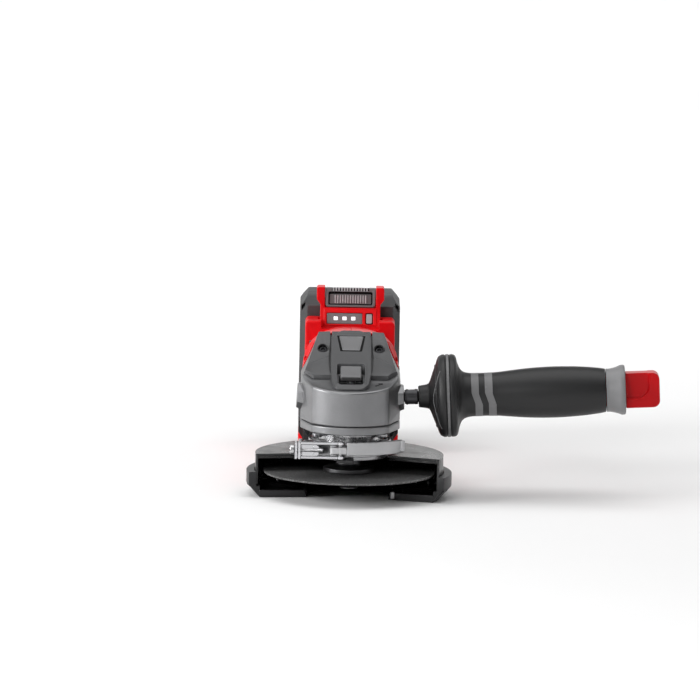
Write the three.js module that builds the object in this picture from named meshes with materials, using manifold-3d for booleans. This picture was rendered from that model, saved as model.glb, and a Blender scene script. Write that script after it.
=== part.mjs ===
// A cordless angle grinder, 125 mm, with a slide-on battery pack and a screw-in side handle.
//
// Millimetres, +Z up. The origin is the centre of the spindle's free end, on the spindle axis.
// +Y runs from the gear head to the battery, and +X points to the side handle, the user's left.
// Inside the machine group, z = 0 is the middle plane of the cutting wheel.

import * as THREE from "three";
import { mergeVertices } from "three/addons/utils/BufferGeometryUtils.js";
import Module from "manifold-3d";

const wasm = await Module();
wasm.setup();

// ---------------------------------------------------------------- driving dimensions

const GAP = 0.3; // between pieces that touch
const WHEEL_RADIUS = 62.5;
const WHEEL_THICKNESS = 1.6;
const SPINDLE_END = -12.5; // height of the spindle's free end
const FLOOR = -17.6; // height of the surface that the machine stands on
const MOTOR_Z = 58; // height of the motor axis
const HANDLE = { y: 6, z: 55, faceX: 39.2, tiltDeg: 3, socketRadius: 4.3, socketDepth: 12.5 };
const HEAD_RADIUS = 36; // front of the gear head, about the spindle axis
const HEAD_HALF_WIDTH = 36.3;
const HEAD_REAR_Y = 44;
const FLANGE_Z = 31.7; // underside of the bearing flange
const SEAM_Z = 37.7; // where the bearing flange meets the gear housing
const NECK_RADIUS = 26;
const SCREW_SPOT = { x: 23.5, y: 19.5 }; // flange screws, mirrored into four corners
const LOCK = { y: -10.5, floor: 66, pinRadius: 2.2 };
const GUARD = { outer: 68.75, sheet: 1.5, top: 13.5, bottom: -9, turnDeg: -5, endDeg: -13 };
const COVER = { outer: 75, top: 1, plateTop: -15.1, endDeg: -18, notchRadius: 30 };
const LATCH = { pivot: [-12, -36], linkPivot: [-7, -36.5], leverRadius: 45, leverCentreY: 6 };
const BODY_REAR_Y = 196;
const FOOT = { halfWidth: 33.6, frontY: 196, rearY: 222, top: 83.4, notchZ: 77 };
const PACK = { halfWidth: 37.6, frontY: 223, rearY: 284, bottom: -2.7, top: 98 };
const GEAR = { wheelTeeth: 37, pinionTeeth: 12, heelRadius: 22.5, faceWidth: 7 };

const rad = THREE.MathUtils.degToRad;

// ---------------------------------------------------------------- materials

const finish = (color, roughness, metalness = 0) => new THREE.MeshStandardMaterial({ color, roughness, metalness });
const FINISH = {
  castGrey: finish("#77797c", 0.5, 0.6),
  steel: finish("#b4b6b8", 0.3, 1),
  darkSteel: finish("#3a3a3c", 0.4, 0.9),
  chrome: finish("#d8d8da", 0.12, 1),
  blackPlastic: finish("#2b2c2e", 0.55),
  darkGrey: finish("#4a4b4d", 0.55),
  midGrey: finish("#85868a", 0.5),
  red: finish("#d2101c", 0.38),
  rubber: finish("#1d1d1f", 0.85),
  blackPaint: finish("#141415", 0.4, 0.3),
  abrasive: finish("#333234", 0.95),
  copper: finish("#b0622c", 0.35, 0.9),
  board: finish("#1f5a34", 0.6),
  clear: finish("#8b8c90", 0.2),
};

// ---------------------------------------------------------------- solids

// A closed three.js geometry as a solid that can be joined and cut.
function solid(geometry) {
  const bare = geometry.index ? geometry.clone() : geometry;
  for (const extra of ["normal", "uv"]) bare.deleteAttribute(extra);
  const merged = mergeVertices(bare, 1e-3);
  return new wasm.Manifold(
    new wasm.Mesh({
      numProp: 3,
      vertProperties: merged.attributes.position.array,
      triVerts: new Uint32Array(merged.index.array),
    }),
  );
}

const join = (...solids) => solids.reduce((a, b) => a.add(b));
const cut = (body, ...tools) => tools.reduce((a, b) => a.subtract(b), body);
const common = (...solids) => solids.reduce((a, b) => a.intersect(b));

// A solid as a named mesh with its material.
function part(name, body, material) {
  const { vertProperties, triVerts, numProp } = body.getMesh();
  const position = new Float32Array((vertProperties.length / numProp) * 3);
  for (let i = 0; i < position.length / 3; i++) {
    position.set(vertProperties.subarray(i * numProp, i * numProp + 3), i * 3);
  }
  const geometry = new THREE.BufferGeometry();
  geometry.setAttribute("position", new THREE.BufferAttribute(position, 3));
  geometry.setIndex(new THREE.BufferAttribute(triVerts, 1));
  geometry.computeVertexNormals();
  const mesh = new THREE.Mesh(geometry, material);
  mesh.name = name;
  return mesh;
}

function group(...children) {
  const made = new THREE.Group();
  made.add(...children);
  return made;
}

// A box from its low and high limits on each axis.
function block(x0, x1, y0, y1, z0, z1) {
  const box = new THREE.BoxGeometry(x1 - x0, y1 - y0, z1 - z0);
  return solid(box.translate((x0 + x1) / 2, (y0 + y1) / 2, (z0 + z1) / 2));
}

// A cylinder or cone along Z from z0 to z1.
function rod(radius, z0, z1, { x = 0, y = 0, sides = 24, topRadius = radius } = {}) {
  const cylinder = new THREE.CylinderGeometry(topRadius, radius, z1 - z0, sides);
  return solid(cylinder.rotateX(Math.PI / 2).translate(x, y, (z0 + z1) / 2));
}

// The same along X and along Y.
function rodX(radius, x0, x1, y, z, sides = 20) {
  const cylinder = new THREE.CylinderGeometry(radius, radius, x1 - x0, sides);
  return solid(cylinder.rotateZ(-Math.PI / 2).translate((x0 + x1) / 2, y, z));
}
function rodY(radius, y0, y1, x, z, sides = 28) {
  const cylinder = new THREE.CylinderGeometry(radius, radius, y1 - y0, sides);
  return solid(cylinder.translate(x, (y0 + y1) / 2, z));
}

// A solid of revolution about Z from [radius, z] points, listed upwards along the outside.
function turned(points, sides = 20) {
  const profile = [...points, points[0]].map(([r, z]) => new THREE.Vector2(r, z));
  return solid(new THREE.LatheGeometry(profile, sides).rotateX(Math.PI / 2));
}

const ring = (inner, outer, z0, z1, sides = 36) =>
  turned([[inner, z0], [outer, z0], [outer, z1], [inner, z1]], sides);

const outline = (points) => new THREE.Shape(points.map(([u, v]) => new THREE.Vector2(u, v)));

// Outlines drawn in the XY, YZ or XZ plane and given a thickness along the third axis.
function prismZ(shape, z0, z1, curveSegments = 12) {
  const made = new THREE.ExtrudeGeometry(shape, { depth: z1 - z0, bevelEnabled: false, curveSegments });
  return solid(made.translate(0, 0, z0));
}
function prismX(shape, x0, x1) {
  const made = new THREE.ExtrudeGeometry(shape, { depth: x1 - x0, bevelEnabled: false });
  return solid(made.rotateY(Math.PI / 2).rotateX(Math.PI / 2).translate(x0, 0, 0));
}
function prismY(shape, y0, y1) {
  const made = new THREE.ExtrudeGeometry(shape, { depth: y1 - y0, bevelEnabled: false });
  return solid(made.rotateX(Math.PI / 2).translate(0, y1, 0));
}

// A polygon mirrored in its first coordinate, from the points of its positive side.
const mirrored = (points) => [...points, ...points.map(([u, v]) => [-u, v]).reverse()];

// A solid spanned by rings of points, closed at both ends. The rings turn the same way.
function loft(rings) {
  const count = rings[0].length;
  const position = [];
  const quad = (a, b, c, d) => position.push(...a, ...b, ...c, ...a, ...c, ...d);
  for (let i = 0; i + 1 < rings.length; i++) {
    for (let j = 0; j < count; j++) {
      const k = (j + 1) % count;
      quad(rings[i][j], rings[i + 1][j], rings[i + 1][k], rings[i][k]);
    }
  }
  const centre = (points) => [0, 1, 2].map((k) => points.reduce((sum, p) => sum + p[k], 0) / count);
  const [first, last] = [rings[0], rings[rings.length - 1]];
  for (let j = 0; j < count; j++) {
    const k = (j + 1) % count;
    position.push(...centre(first), ...first[j], ...first[k]);
    position.push(...centre(last), ...last[k], ...last[j]);
  }
  const geometry = new THREE.BufferGeometry();
  geometry.setAttribute("position", new THREE.Float32BufferAttribute(position, 3));
  const made = solid(geometry);
  if (made.volume() > 0) return made;
  return loft(rings.map((points) => [...points].reverse()));
}

// A sector of a ring about Z between two angles in degrees.
function arcBand(inner, outer, z0, z1, fromDeg, toDeg, steps = 48) {
  const at = (r, t) => {
    const angle = rad(fromDeg + ((toDeg - fromDeg) * t) / steps);
    return [r * Math.cos(angle), r * Math.sin(angle)];
  };
  const indices = Array.from({ length: steps + 1 }, (_, i) => i);
  const points = [...indices.map((i) => at(outer, i)), ...indices.reverse().map((i) => at(inner, i))];
  return prismZ(outline(points), z0, z1);
}

// ---------------------------------------------------------------- gear head

// Plan of the head: an arc about the spindle in front, and flaring sides.
function headPlan(inset = 0, rearY = HEAD_REAR_Y) {
  const radius = HEAD_RADIUS - inset;
  const half = HEAD_HALF_WIDTH - inset;
  const arc = [];
  const steps = 10;
  const sweep = 52;
  for (let i = 0; i <= steps; i++) {
    const angle = rad(-90 + (sweep * i) / steps);
    arc.push([radius * Math.cos(angle), radius * Math.sin(angle)]);
  }
  const right = [...arc, [half, 2], [half, rearY - inset]];
  const left = right.slice(1).map(([x, y]) => [-x, y]).reverse();
  return outline([...right, ...left]);
}

// Front view of the head: upright sides under a roof that slopes in.
const headFront = (grow = 0) =>
  outline(mirrored([[38 + grow, 20], [38 + grow, 66], [34.6 + grow, 72], [31.2 + grow, 79], [23.2 + grow, 98], [0, 98]].slice(0, 5)));

// Top of the metal housing in side view, from front to rear.
const METAL_TOP = [[-40, 62.6], [-36, 63.4], [-7, 68.8], [HEAD_REAR_Y, 92]];

function handleBoss(side) {
  const boss = new THREE.CylinderGeometry(10.3, 10.8, 14, 8).rotateY(rad(22.5)).rotateZ(-Math.PI / 2);
  boss.translate(HANDLE.faceX - 7, 0, 0).rotateY(-rad(HANDLE.tiltDeg));
  if (side < 0) boss.rotateZ(Math.PI);
  return solid(boss.translate(0, HANDLE.y, HANDLE.z - HANDLE.faceX * Math.sin(rad(HANDLE.tiltDeg))));
}

function handleSocket(side) {
  const length = HANDLE.socketDepth + 4;
  const hole = new THREE.CylinderGeometry(HANDLE.socketRadius, HANDLE.socketRadius, length, 24).rotateZ(-Math.PI / 2);
  hole.translate(HANDLE.faceX - HANDLE.socketDepth + length / 2, 0, 0).rotateY(-rad(HANDLE.tiltDeg));
  if (side < 0) hole.rotateZ(Math.PI);
  return solid(hole.translate(0, HANDLE.y, HANDLE.z - HANDLE.faceX * Math.sin(rad(HANDLE.tiltDeg))));
}

const corners = [[1, 1], [-1, 1], [-1, -1], [1, -1]];

function gearHousing() {
  const side = outline([[-40, FLANGE_Z], [HEAD_REAR_Y, FLANGE_Z], ...[...METAL_TOP].reverse()]);
  const shell = common(prismZ(headPlan(), 20, 98), prismX(side, -45, 45), prismY(headFront(-0.5), -45, 60));
  const frontStep = block(-45, 45, -45, 32, 20, SEAM_Z + GAP);
  const chamber = rod(24.5, 20, 59, { sides: 36 });
  const topBearingSeat = rod(7.5, 50, 64.8, { sides: 20 });
  const pinionBore = rodY(11.3, 11, 50, 0, MOTOR_Z);
  const plateSeat = rodY(16, 36.3, 50, 0, MOTOR_Z);
  const buttonPocket = block(-8.4, 8.4, -19, -1, LOCK.floor, 80);
  const lockHole = rod(LOCK.pinRadius + GAP, 50, 70, { y: LOCK.y, sides: 12 });
  const screwHoles = corners.map(([i, j]) => rod(2.35, 20, 49, { x: i * SCREW_SPOT.x, y: j * SCREW_SPOT.y, sides: 12 }));
  const coverScrewHoles = [-1, 1].map((s) => rod(1.9, 70, 98, { x: s * 20.6, y: 24.4, sides: 12 }));
  return cut(
    join(shell.subtract(frontStep), handleBoss(1), handleBoss(-1)),
    chamber, topBearingSeat, pinionBore, plateSeat, buttonPocket, lockHole,
    ...screwHoles, ...coverScrewHoles, handleSocket(1), handleSocket(-1),
  );
}

function bearingFlange() {
  const plate = prismZ(headPlan(0, 31.6), FLANGE_Z, SEAM_Z);
  const neck = rod(NECK_RADIUS, 12.8, FLANGE_Z + 1, { sides: 48 });
  const seatWall = rod(20, SEAM_Z - 1, 43.6, { sides: 30 });
  const shieldBore = rod(10, 10, 34);
  const bearingSeat = rod(16.4, 33, 50, { sides: 30 });
  const screwHoles = corners.map(([i, j]) => rod(2.35, 30, 40, { x: i * SCREW_SPOT.x, y: j * SCREW_SPOT.y, sides: 12 }));
  return cut(join(plate, neck, seatWall), shieldBore, bearingSeat, ...screwHoles);
}

function flangeScrew(index) {
  const [i, j] = corners[index];
  const head = rod(3.7, FLANGE_Z - 3.7, FLANGE_Z - GAP, { sides: 16 });
  const shank = rod(2, FLANGE_Z - 1, 48, { sides: 12 });
  const socket = rod(1.7, FLANGE_Z - 5, FLANGE_Z - 2, { sides: 6 });
  const mesh = part(`flange_screw_${index + 1}`, cut(join(head, shank), socket), FINISH.steel);
  mesh.position.set(i * SCREW_SPOT.x, j * SCREW_SPOT.y, 0);
  return mesh;
}

// Nose of the head cover in side view: its top line falls from the rear to the front lip.
const noseTop = (y) => 79.4 + 0.405 * y;
const metalTop = (y) => (y < -7 ? 68.8 + 0.187 * (y + 7) : 68.8 + 0.455 * (y + 7));

function headCover() {
  const under = (y) => metalTop(y) + GAP;
  const wingSide = outline([
    [-7, under(-7)], [HEAD_REAR_Y, under(HEAD_REAR_Y)], [HEAD_REAR_Y, 97], [16, 82.6], [-5, 72.4], [-7, 71.2],
  ]);
  const noseSide = outline([
    [-31, under(-31)], [-7, under(-7)], [HEAD_REAR_Y, under(HEAD_REAR_Y)],
    [HEAD_REAR_Y, noseTop(HEAD_REAR_Y)], [-28, noseTop(-28)], [-31, 65.6],
  ]);
  const wings = common(prismX(wingSide, -40, 40), prismZ(headPlan(0.2), 50, 100), prismY(headFront(), -50, 60));
  const nose = common(
    prismX(noseSide, -14.6, 14.6),
    prismY(outline(mirrored([[14.6, 50], [14.6, 92], [11.5, 99]])), -40, 50),
    prismZ(outline(mirrored([[12.4, -32], [14.6, -12], [14.6, 50]])), 50, 100),
  );
  const recess = block(-10.2, 10.2, -28, 0, 50, 90);
  const recessFloor = block(-10.2, 10.2, -28, -19.6, 50, 68);
  const floor = common(recessFloor, prismX(noseSide, -14.6, 14.6));
  const badgePocket = badgeSlab(0.3, -1.3, 5);
  const screwHoles = [-1, 1].map((s) => rod(4, 84.6, 100, { x: s * 20.6, y: 24.4, sides: 18 }));
  const shankHoles = [-1, 1].map((s) => rod(2.2, 70, 90, { x: s * 20.6, y: 24.4, sides: 12 }));
  return cut(join(wings, nose), recess.subtract(floor), badgePocket, ...screwHoles, ...shankHoles);
}

// A keystone plate lying on the nose, for the badge and the pocket that it sits in.
function badgeSlab(grow, low, high) {
  const [front, rear] = [18.6, 37.6];
  const keystone = mirrored([[6.6 + grow, front - grow], [8.9 + grow, rear + grow]]);
  const side = outline([
    [front - 2, noseTop(front - 2) + low], [rear + 2, noseTop(rear + 2) + low],
    [rear + 2, noseTop(rear + 2) + high], [front - 2, noseTop(front - 2) + high],
  ]);
  return common(prismZ(outline(keystone), 60, 110), prismX(side, -20, 20));
}

function coverScrew(name, side) {
  const head = rod(3.6, 84.9, 88.2, { sides: 16 });
  const shank = rod(1.6, 74, 86, { sides: 12 });
  const socket = rod(1.7, 86.6, 90, { sides: 6 });
  const mesh = part(name, cut(join(head, shank), socket), FINISH.darkSteel);
  mesh.position.set(side * 20.6, 24.4, 0);
  return mesh;
}

// A ball bearing as one ring with a recessed shield on each face.
function ballBearing(inner, outer, z0, z1) {
  const wall = (outer - inner) / 4;
  return turned([
    [inner, z0], [inner + wall, z0], [inner + wall, z0 + 0.6], [outer - wall, z0 + 0.6], [outer - wall, z0], [outer, z0],
    [outer, z1], [outer - wall, z1], [outer - wall, z1 - 0.6], [inner + wall, z1 - 0.6], [inner + wall, z1], [inner, z1],
  ]);
}

function gearHead() {
  return group(
    part("gear_housing", gearHousing(), FINISH.castGrey),
    part("bearing_flange", bearingFlange(), FINISH.castGrey),
    ...[0, 1, 2, 3].map(flangeScrew),
    part("spindle_bearing", ballBearing(7.8, 16, 33.3, 43.3), FINISH.steel),
    part("spindle_needle_bearing", ring(5.3, 7.2, 58.4, 64.4, 20), FINISH.steel),
    part("head_cover", headCover(), FINISH.blackPlastic),
    coverScrew("head_cover_screw_left", 1),
    coverScrew("head_cover_screw_right", -1),
    part("badge_plate", badgeSlab(0, -0.9, 0.1), FINISH.steel),
  );
}

// ---------------------------------------------------------------- spindle and bevel gears

const pitchAngle = Math.atan(GEAR.wheelTeeth / GEAR.pinionTeeth); // of the crown wheel
const coneLength = GEAR.heelRadius / Math.sin(pitchAngle);
const toothModule = (2 * GEAR.heelRadius) / GEAR.wheelTeeth;

// The toothed cone of a straight bevel gear about Z, its pitch cone's apex at the origin.
function bevelTeeth(teeth, pitch, rootSlack) {
  const addendum = 0.95 * toothModule;
  const dedendum = 1.3 * toothModule;
  const half = (Math.PI * toothModule) / 4 - 0.17; // half a tooth's thickness, less the backlash
  const slope = Math.tan(rad(20));
  const levels = {
    tip: { cone: pitch + addendum / coneLength, half: half - addendum * slope },
    root: { cone: pitch - dedendum / coneLength, half: half + dedendum * slope - rootSlack },
  };
  const ringAt = (distance) => {
    const points = [];
    for (let tooth = 0; tooth < teeth; tooth++) {
      const middle = (2 * Math.PI * tooth) / teeth;
      for (const [level, side] of [["root", -1], ["tip", -1], ["tip", 1], ["root", 1]]) {
        const { cone, half: width } = levels[level];
        const angle = middle + (side * width) / (coneLength * Math.sin(cone));
        const radius = distance * Math.sin(cone);
        points.push([radius * Math.cos(angle), radius * Math.sin(angle), distance * Math.cos(cone)]);
      }
    }
    return points;
  };
  return { toe: ringAt(coneLength - GEAR.faceWidth), heel: ringAt(coneLength), count: 4 * teeth };
}

const circle = (radius, z, count) =>
  Array.from({ length: count }, (_, i) => {
    const angle = (2 * Math.PI * (i + 0.5)) / count;
    return [radius * Math.cos(angle), radius * Math.sin(angle), z];
  });

function bevelGear() {
  const { toe, heel, count } = bevelTeeth(GEAR.wheelTeeth, pitchAngle, 0.1);
  const [floor, rim, back] = [[14.4, 9], [14.4, 6.6], [17, 13.5]].map(([r, z]) => circle(r, z, count));
  const bore = rod(6.3, 0, 20, { sides: 20 });
  const lockHoles = [0, 1, 2, 3].map((i) => {
    const angle = (i * Math.PI) / 2;
    return rod(LOCK.pinRadius + 0.5, 0, 20, { x: 10.5 * Math.cos(angle), y: 10.5 * Math.sin(angle), sides: 12 });
  });
  const mesh = part("bevel_gear", cut(loft([floor, rim, toe, heel, back]), bore, ...lockHoles), FINISH.steel);
  mesh.rotation.set(Math.PI, 0, Math.PI / 2, "ZXY"); // a tooth points to the pinion
  mesh.position.z = MOTOR_Z;
  return mesh;
}

function bevelPinion() {
  const { toe, heel, count } = bevelTeeth(GEAR.pinionTeeth, Math.PI / 2 - pitchAngle, 0.25);
  const ends = [[5.4, 23.4], [5.4, 27]].map(([r, z]) => circle(r, z, count));
  const body = cut(loft([toe, heel, ...ends]), rod(3.1, 0, 40, { sides: 16 }));
  const mesh = part("bevel_pinion", body, FINISH.steel);
  mesh.rotation.z = Math.PI / GEAR.pinionTeeth; // a tooth space faces the crown wheel
  return mesh;
}

const spindleProfile = [
  [0, SPINDLE_END], [6.4, SPINDLE_END], [7, SPINDLE_END + 0.6], [7, 13.1], [9, 13.1], [9, 31.5], [7.5, 31.5],
  [7.5, 44], [6, 44], [6, 57], [5, 57], [5, 64.4], [0, 64.4],
];

function cuttingWheel() {
  const half = WHEEL_THICKNESS / 2;
  return ring(11.1, WHEEL_RADIUS, -half, half, 72);
}

function innerFlange() {
  const seat = WHEEL_THICKNESS / 2 + GAP;
  return turned([
    [7.3, -0.6], [10.8, -0.6], [10.8, seat], [19, seat], [19, 4.6], [17.8, 5.6], [10, 5.6], [10, 12.8], [7.3, 12.8],
  ], 36);
}

function clampingNut() {
  const seat = -WHEEL_THICKNESS / 2 - GAP;
  const body = turned([[7.3, -9.4], [13, -9.4], [17, -7.6], [20, -6.4], [20, -2.2], [19, seat], [7.3, seat]], 36);
  const pinHoles = [-1, 1].map((s) => rod(2.5, -12, -5, { x: s * 15, sides: 12 }));
  return cut(body, ...pinHoles);
}

function spindleGroup() {
  return group(
    part("spindle", turned(spindleProfile), FINISH.steel),
    bevelGear(),
    part("inner_flange", innerFlange(), FINISH.darkSteel),
    part("cutting_wheel", cuttingWheel(), FINISH.abrasive),
    part("clamping_nut", clampingNut(), FINISH.darkSteel),
  );
}

// ---------------------------------------------------------------- spindle lock

function lockButton() {
  const side = outline([[-18, 69.5], [-1.8, 69.5], [-1.8, noseTop(-1.8) - 0.2], [-16.6, 73], [-18, 71.8]]);
  const springWell = rod(4.1, 60, 72.2, { y: LOCK.y, sides: 20 });
  const pinHole = rod(LOCK.pinRadius + 0.25, 60, 73.4, { y: LOCK.y, sides: 16 });
  return cut(prismX(side, -7.6, 7.6), springWell, pinHole);
}

// A helix of round wire, closed at both ends, standing on z0.
class Helix extends THREE.Curve {
  constructor(radius, turns, z0, z1) {
    super();
    Object.assign(this, { radius, turns, z0, z1 });
  }
  getPoint(t, target = new THREE.Vector3()) {
    const angle = 2 * Math.PI * this.turns * t;
    const z = this.z0 + (this.z1 - this.z0) * t;
    return target.set(this.radius * Math.cos(angle), this.radius * Math.sin(angle), z);
  }
}

function coilSpring(radius, wire, turns, z0, z1) {
  const section = new THREE.Shape().absarc(0, 0, wire, 0, 2 * Math.PI);
  const path = new Helix(radius, turns, z0, z1);
  const options = { steps: turns * 12, curveSegments: 2, extrudePath: path, bevelEnabled: false };
  return solid(new THREE.ExtrudeGeometry(section, options));
}

function lockSpring() {
  const mesh = part("lock_spring", coilSpring(3.3, 0.35, 3, 66.8, 71.4), FINISH.steel);
  mesh.position.y = LOCK.y;
  return mesh;
}

function lockGroup() {
  const pin = rod(LOCK.pinRadius, 49.9, 73.1, { y: LOCK.y, sides: 12 });
  return group(part("lock_button", lockButton(), FINISH.midGrey), part("lock_pin", pin, FINISH.steel), lockSpring());
}

// ---------------------------------------------------------------- motor

function coolingFan() {
  const disc = rod(25.4, 60, 61.4, { sides: 33 });
  const hub = rod(8, 51, 61);
  const blades = Array.from({ length: 11 }, (_, i) => {
    const blade = new THREE.BoxGeometry(16, 1.2, 8).translate(16.4, 0, 56.2).rotateZ((2 * Math.PI * i) / 11);
    return solid(blade);
  });
  return cut(join(disc, hub, ...blades), rod(4.3, 40, 70));
}

function rotorShaft() {
  return turned([
    [0, 14], [2.8, 14], [2.8, 28], [3.9, 28], [3.9, 66], [5, 66], [5, 115], [2.9, 115], [2.9, 126], [0, 126],
  ]);
}

// Along the motor axis: inside this group, Z runs from the pinion to the battery.
function alongMotor(...children) {
  const made = group(...children);
  made.rotation.x = -Math.PI / 2;
  made.position.z = MOTOR_Z;
  return made;
}

const rotorGroup = () =>
  alongMotor(
    part("rotor_shaft", rotorShaft(), FINISH.steel),
    bevelPinion(),
    part("cooling_fan", coolingFan(), FINISH.blackPlastic),
    part("rotor_magnet", ring(5.3, 13.8, 72, 112, 24), FINISH.darkSteel),
  );

function statorWindings() {
  const slots = Array.from({ length: 6 }, (_, i) => {
    const slot = new THREE.BoxGeometry(8, 1.6, 60).translate(17.5, 0, 92).rotateZ((Math.PI * i) / 3);
    return solid(slot).subtract(rod(30, 73, 111));
  });
  return cut(ring(14.5, 19.2, 69, 115, 24), ...slots);
}

const motorGroup = () =>
  alongMotor(
    part("motor_front_bearing", ballBearing(4.2, 10.9, 29, 36), FINISH.steel),
    part("bearing_retainer", ring(5.2, 15.6, 36.6, 39.6), FINISH.steel),
    part("stator_core", ring(19.6, 26, 74, 110, 30), FINISH.darkSteel),
    part("stator_windings", statorWindings(), FINISH.copper),
    part("motor_rear_bearing", ballBearing(3.2, 9.5, 118, 124), FINISH.steel),
  );

// ---------------------------------------------------------------- motor housing and foot

// Sections of the housing: y, half width, half height, middle height.
const HOUSING_SECTIONS = [
  [44.3, 35.2, 34, 63.3], [60, 35.4, 34, 63], [84, 34.2, 32.6, 61], [108, 31.6, 30.4, 59],
  [126, 28.2, 27.8, 56.8], [150, 26.6, 26.8, 55.2], [176, 27.4, 26.2, 53], [BODY_REAR_Y + 6, 31, 26, 52.6],
];
const SQUARENESS = 2.7; // exponent of the sections' rounded outline

function housingRing([y, a, b, c], offset, count = 28) {
  const soft = (v) => Math.sign(v) * Math.abs(v) ** (2 / SQUARENESS);
  return Array.from({ length: count }, (_, i) => {
    const angle = (2 * Math.PI * i) / count;
    return [(a + offset) * soft(Math.cos(angle)), y, c + (b + offset) * soft(Math.sin(angle))];
  });
}

// The housing's outer surface moved outwards, between two stations along Y.
function housingBody(offset, fromY, toY) {
  const whole = loft(HOUSING_SECTIONS.map((section) => housingRing(section, offset)));
  return whole.intersect(block(-60, 60, fromY, toY, -20, 120));
}

// The channel that the battery's T-shaped rail runs in, open upwards and to the rear.
function railChannel(slack = 0) {
  return join(
    block(-24.3 - slack, 24.3 + slack, 205.6, 214.2, -13, 130),
    block(-20.6 - slack, 20.6 + slack, 214, 230, -13, 130),
  );
}

function foot() {
  const { halfWidth, frontY, rearY, top, notchZ } = FOOT;
  const chamfer = 5;
  const face = outline(mirrored([
    [halfWidth - chamfer, FLOOR], [halfWidth, FLOOR + chamfer], [halfWidth, top - chamfer], [halfWidth - chamfer, top],
  ]));
  const base = outline(mirrored([
    [PACK.halfWidth - 7, FLOOR], [PACK.halfWidth, FLOOR + 7], [PACK.halfWidth, -3.3],
  ]));
  const tower = prismY(face, frontY, rearY);
  const shelf = prismY(base, frontY + 8, 246);
  const notch = block(-21.6, 21.6, frontY - 1, rearY + 1, notchZ, top + 1);
  return join(tower, shelf).subtract(notch);
}

// Lower front corners of the housing, hanging down beside the bearing flange.
function cornerLobes() {
  const corner = [[28, 46], [35.1, 46], [35.6, 27], [31.6, 19.4], [29.8, 19.4], [27.5, 30]];
  return [1, -1].map((s) => {
    const points = corner.map(([x, z]) => [s * x, z]);
    return prismY(outline(s > 0 ? points : points.reverse()), 44.3, 52);
  });
}

function housingWhole() {
  const outer = join(housingBody(0, 44.3, BODY_REAR_Y + 4), foot(), ...cornerLobes());
  const hollow = housingBody(-2.8, 40, BODY_REAR_Y - 2);
  const rearBearingWall = cut(housingBody(-2.5, 117.7, 124.3), rodY(9.8, 100, 130, 0, MOTOR_Z));
  const statorWall = cut(housingBody(-2.5, 78, 81), rodY(26.3, 70, 90, 0, MOTOR_Z, 48));
  const battery = block(-60, 60, PACK.frontY - GAP, 300, -3, 130);
  const vents = [];
  for (const side of [-1, 1]) {
    for (let i = 0; i < 5; i++) {
      vents.push(block(side > 0 ? 20 : -50, side > 0 ? 50 : -20, 47.5, 54.5, 44 + i * 7.5, 47.4 + i * 7.5));
      vents.push(block(side > 0 ? 15 : -50, side > 0 ? 50 : -15, 180, 190, 38 + i * 7, 41.4 + i * 7));
    }
  }
  const wireHole = rodY(5, 190, 210, 0, 40);
  return cut(join(cut(outer, hollow), rearBearingWall, statorWall), railChannel(), battery, wireHole, ...vents);
}

// The slide switch sits in a slot in the left half, at this height and between these stations.
const SWITCH = { z: 62, y0: 66, y1: 86, travel: 8 };

function housingHalf(side) {
  const keep = side > 0 ? block(0.1, 80, 0, 300, -50, 150) : block(-80, -0.1, 0, 300, -50, 150);
  const half = housingWhole().intersect(keep);
  if (side < 0) return half;
  const { z, y0, y1, travel } = SWITCH;
  const recess = block(33.8, 50, y0 - travel - 1, y1 + 1.5, z - 7.5, z + 7.5);
  const slot = block(20, 50, y0 + 3 - travel, y1 - 2, z - 3, z + 3);
  const rodWay = block(26.2, 29.2, y0, 116, z - 3, z + 3);
  return cut(half, recess, slot, rodWay);
}

function softGrip(side) {
  const sleeve = housingBody(1.7, 124, 178).subtract(housingBody(GAP, 120, 182));
  const keep = side > 0 ? block(0.1, 80, 0, 300, -50, 150) : block(-80, -0.1, 0, 300, -50, 150);
  const openTop = block(-12, 12, 120, 182, 66, 110);
  return cut(sleeve.intersect(keep), openTop);
}

function controllerBoard() {
  const board = block(-19, 19, 134, 176, 40, 41.6);
  const capacitors = [-10, 0, 10].map((x) => rod(4, 41, 53, { x, y: 142, sides: 20 }));
  const transistors = [-14, -4.7, 4.7, 14].map((x) => block(x - 3, x + 3, 158, 164, 41, 45));
  return join(board, ...capacitors, ...transistors);
}

function switchModule() {
  return join(block(-6, 8, 136, 160, 57, 69), block(2, 5, 132, 137, 61.4, 64.6));
}

function switchSlider() {
  const { z, y0, y1 } = SWITCH;
  const pad = block(34.2, 35.4, y0, y1, z - 6.5, z + 6.5);
  const neck = block(27, 35, y0 + 3.4, y1 - 3.4, z - 2.5, z + 2.5);
  const slideRod = block(26.8, 28.4, y0 + 3.4, 112, z - 2.2, z + 2.2);
  const ribs = [0, 1, 2, 3].map((i) => block(35, 36.2, y0 + 3.5 + i * 3.8, y0 + 5.1 + i * 3.8, z - 5, z + 5));
  return join(pad, neck, slideRod, ...ribs);
}

function terminalBlock() {
  const body = block(-14, 14, 206.2, 212.8, -12.6, 4);
  const blades = [-9, -3, 3, 9].map((x) => block(x - 0.5, x + 0.5, 207, 212, 3, 17));
  return join(body, ...blades);
}

const housingGroup = () =>
  group(
    part("housing_left", housingHalf(1), FINISH.red),
    part("housing_right", housingHalf(-1), FINISH.red),
    part("soft_grip_left", softGrip(1), FINISH.rubber),
    part("soft_grip_right", softGrip(-1), FINISH.rubber),
    part("controller_board", controllerBoard(), FINISH.board),
    part("switch_module", switchModule(), FINISH.blackPlastic),
    part("terminal_block", terminalBlock(), FINISH.darkGrey),
  );

// ---------------------------------------------------------------- battery pack

const CAVITY = { wall: 2.4, split: 254 };

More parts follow.
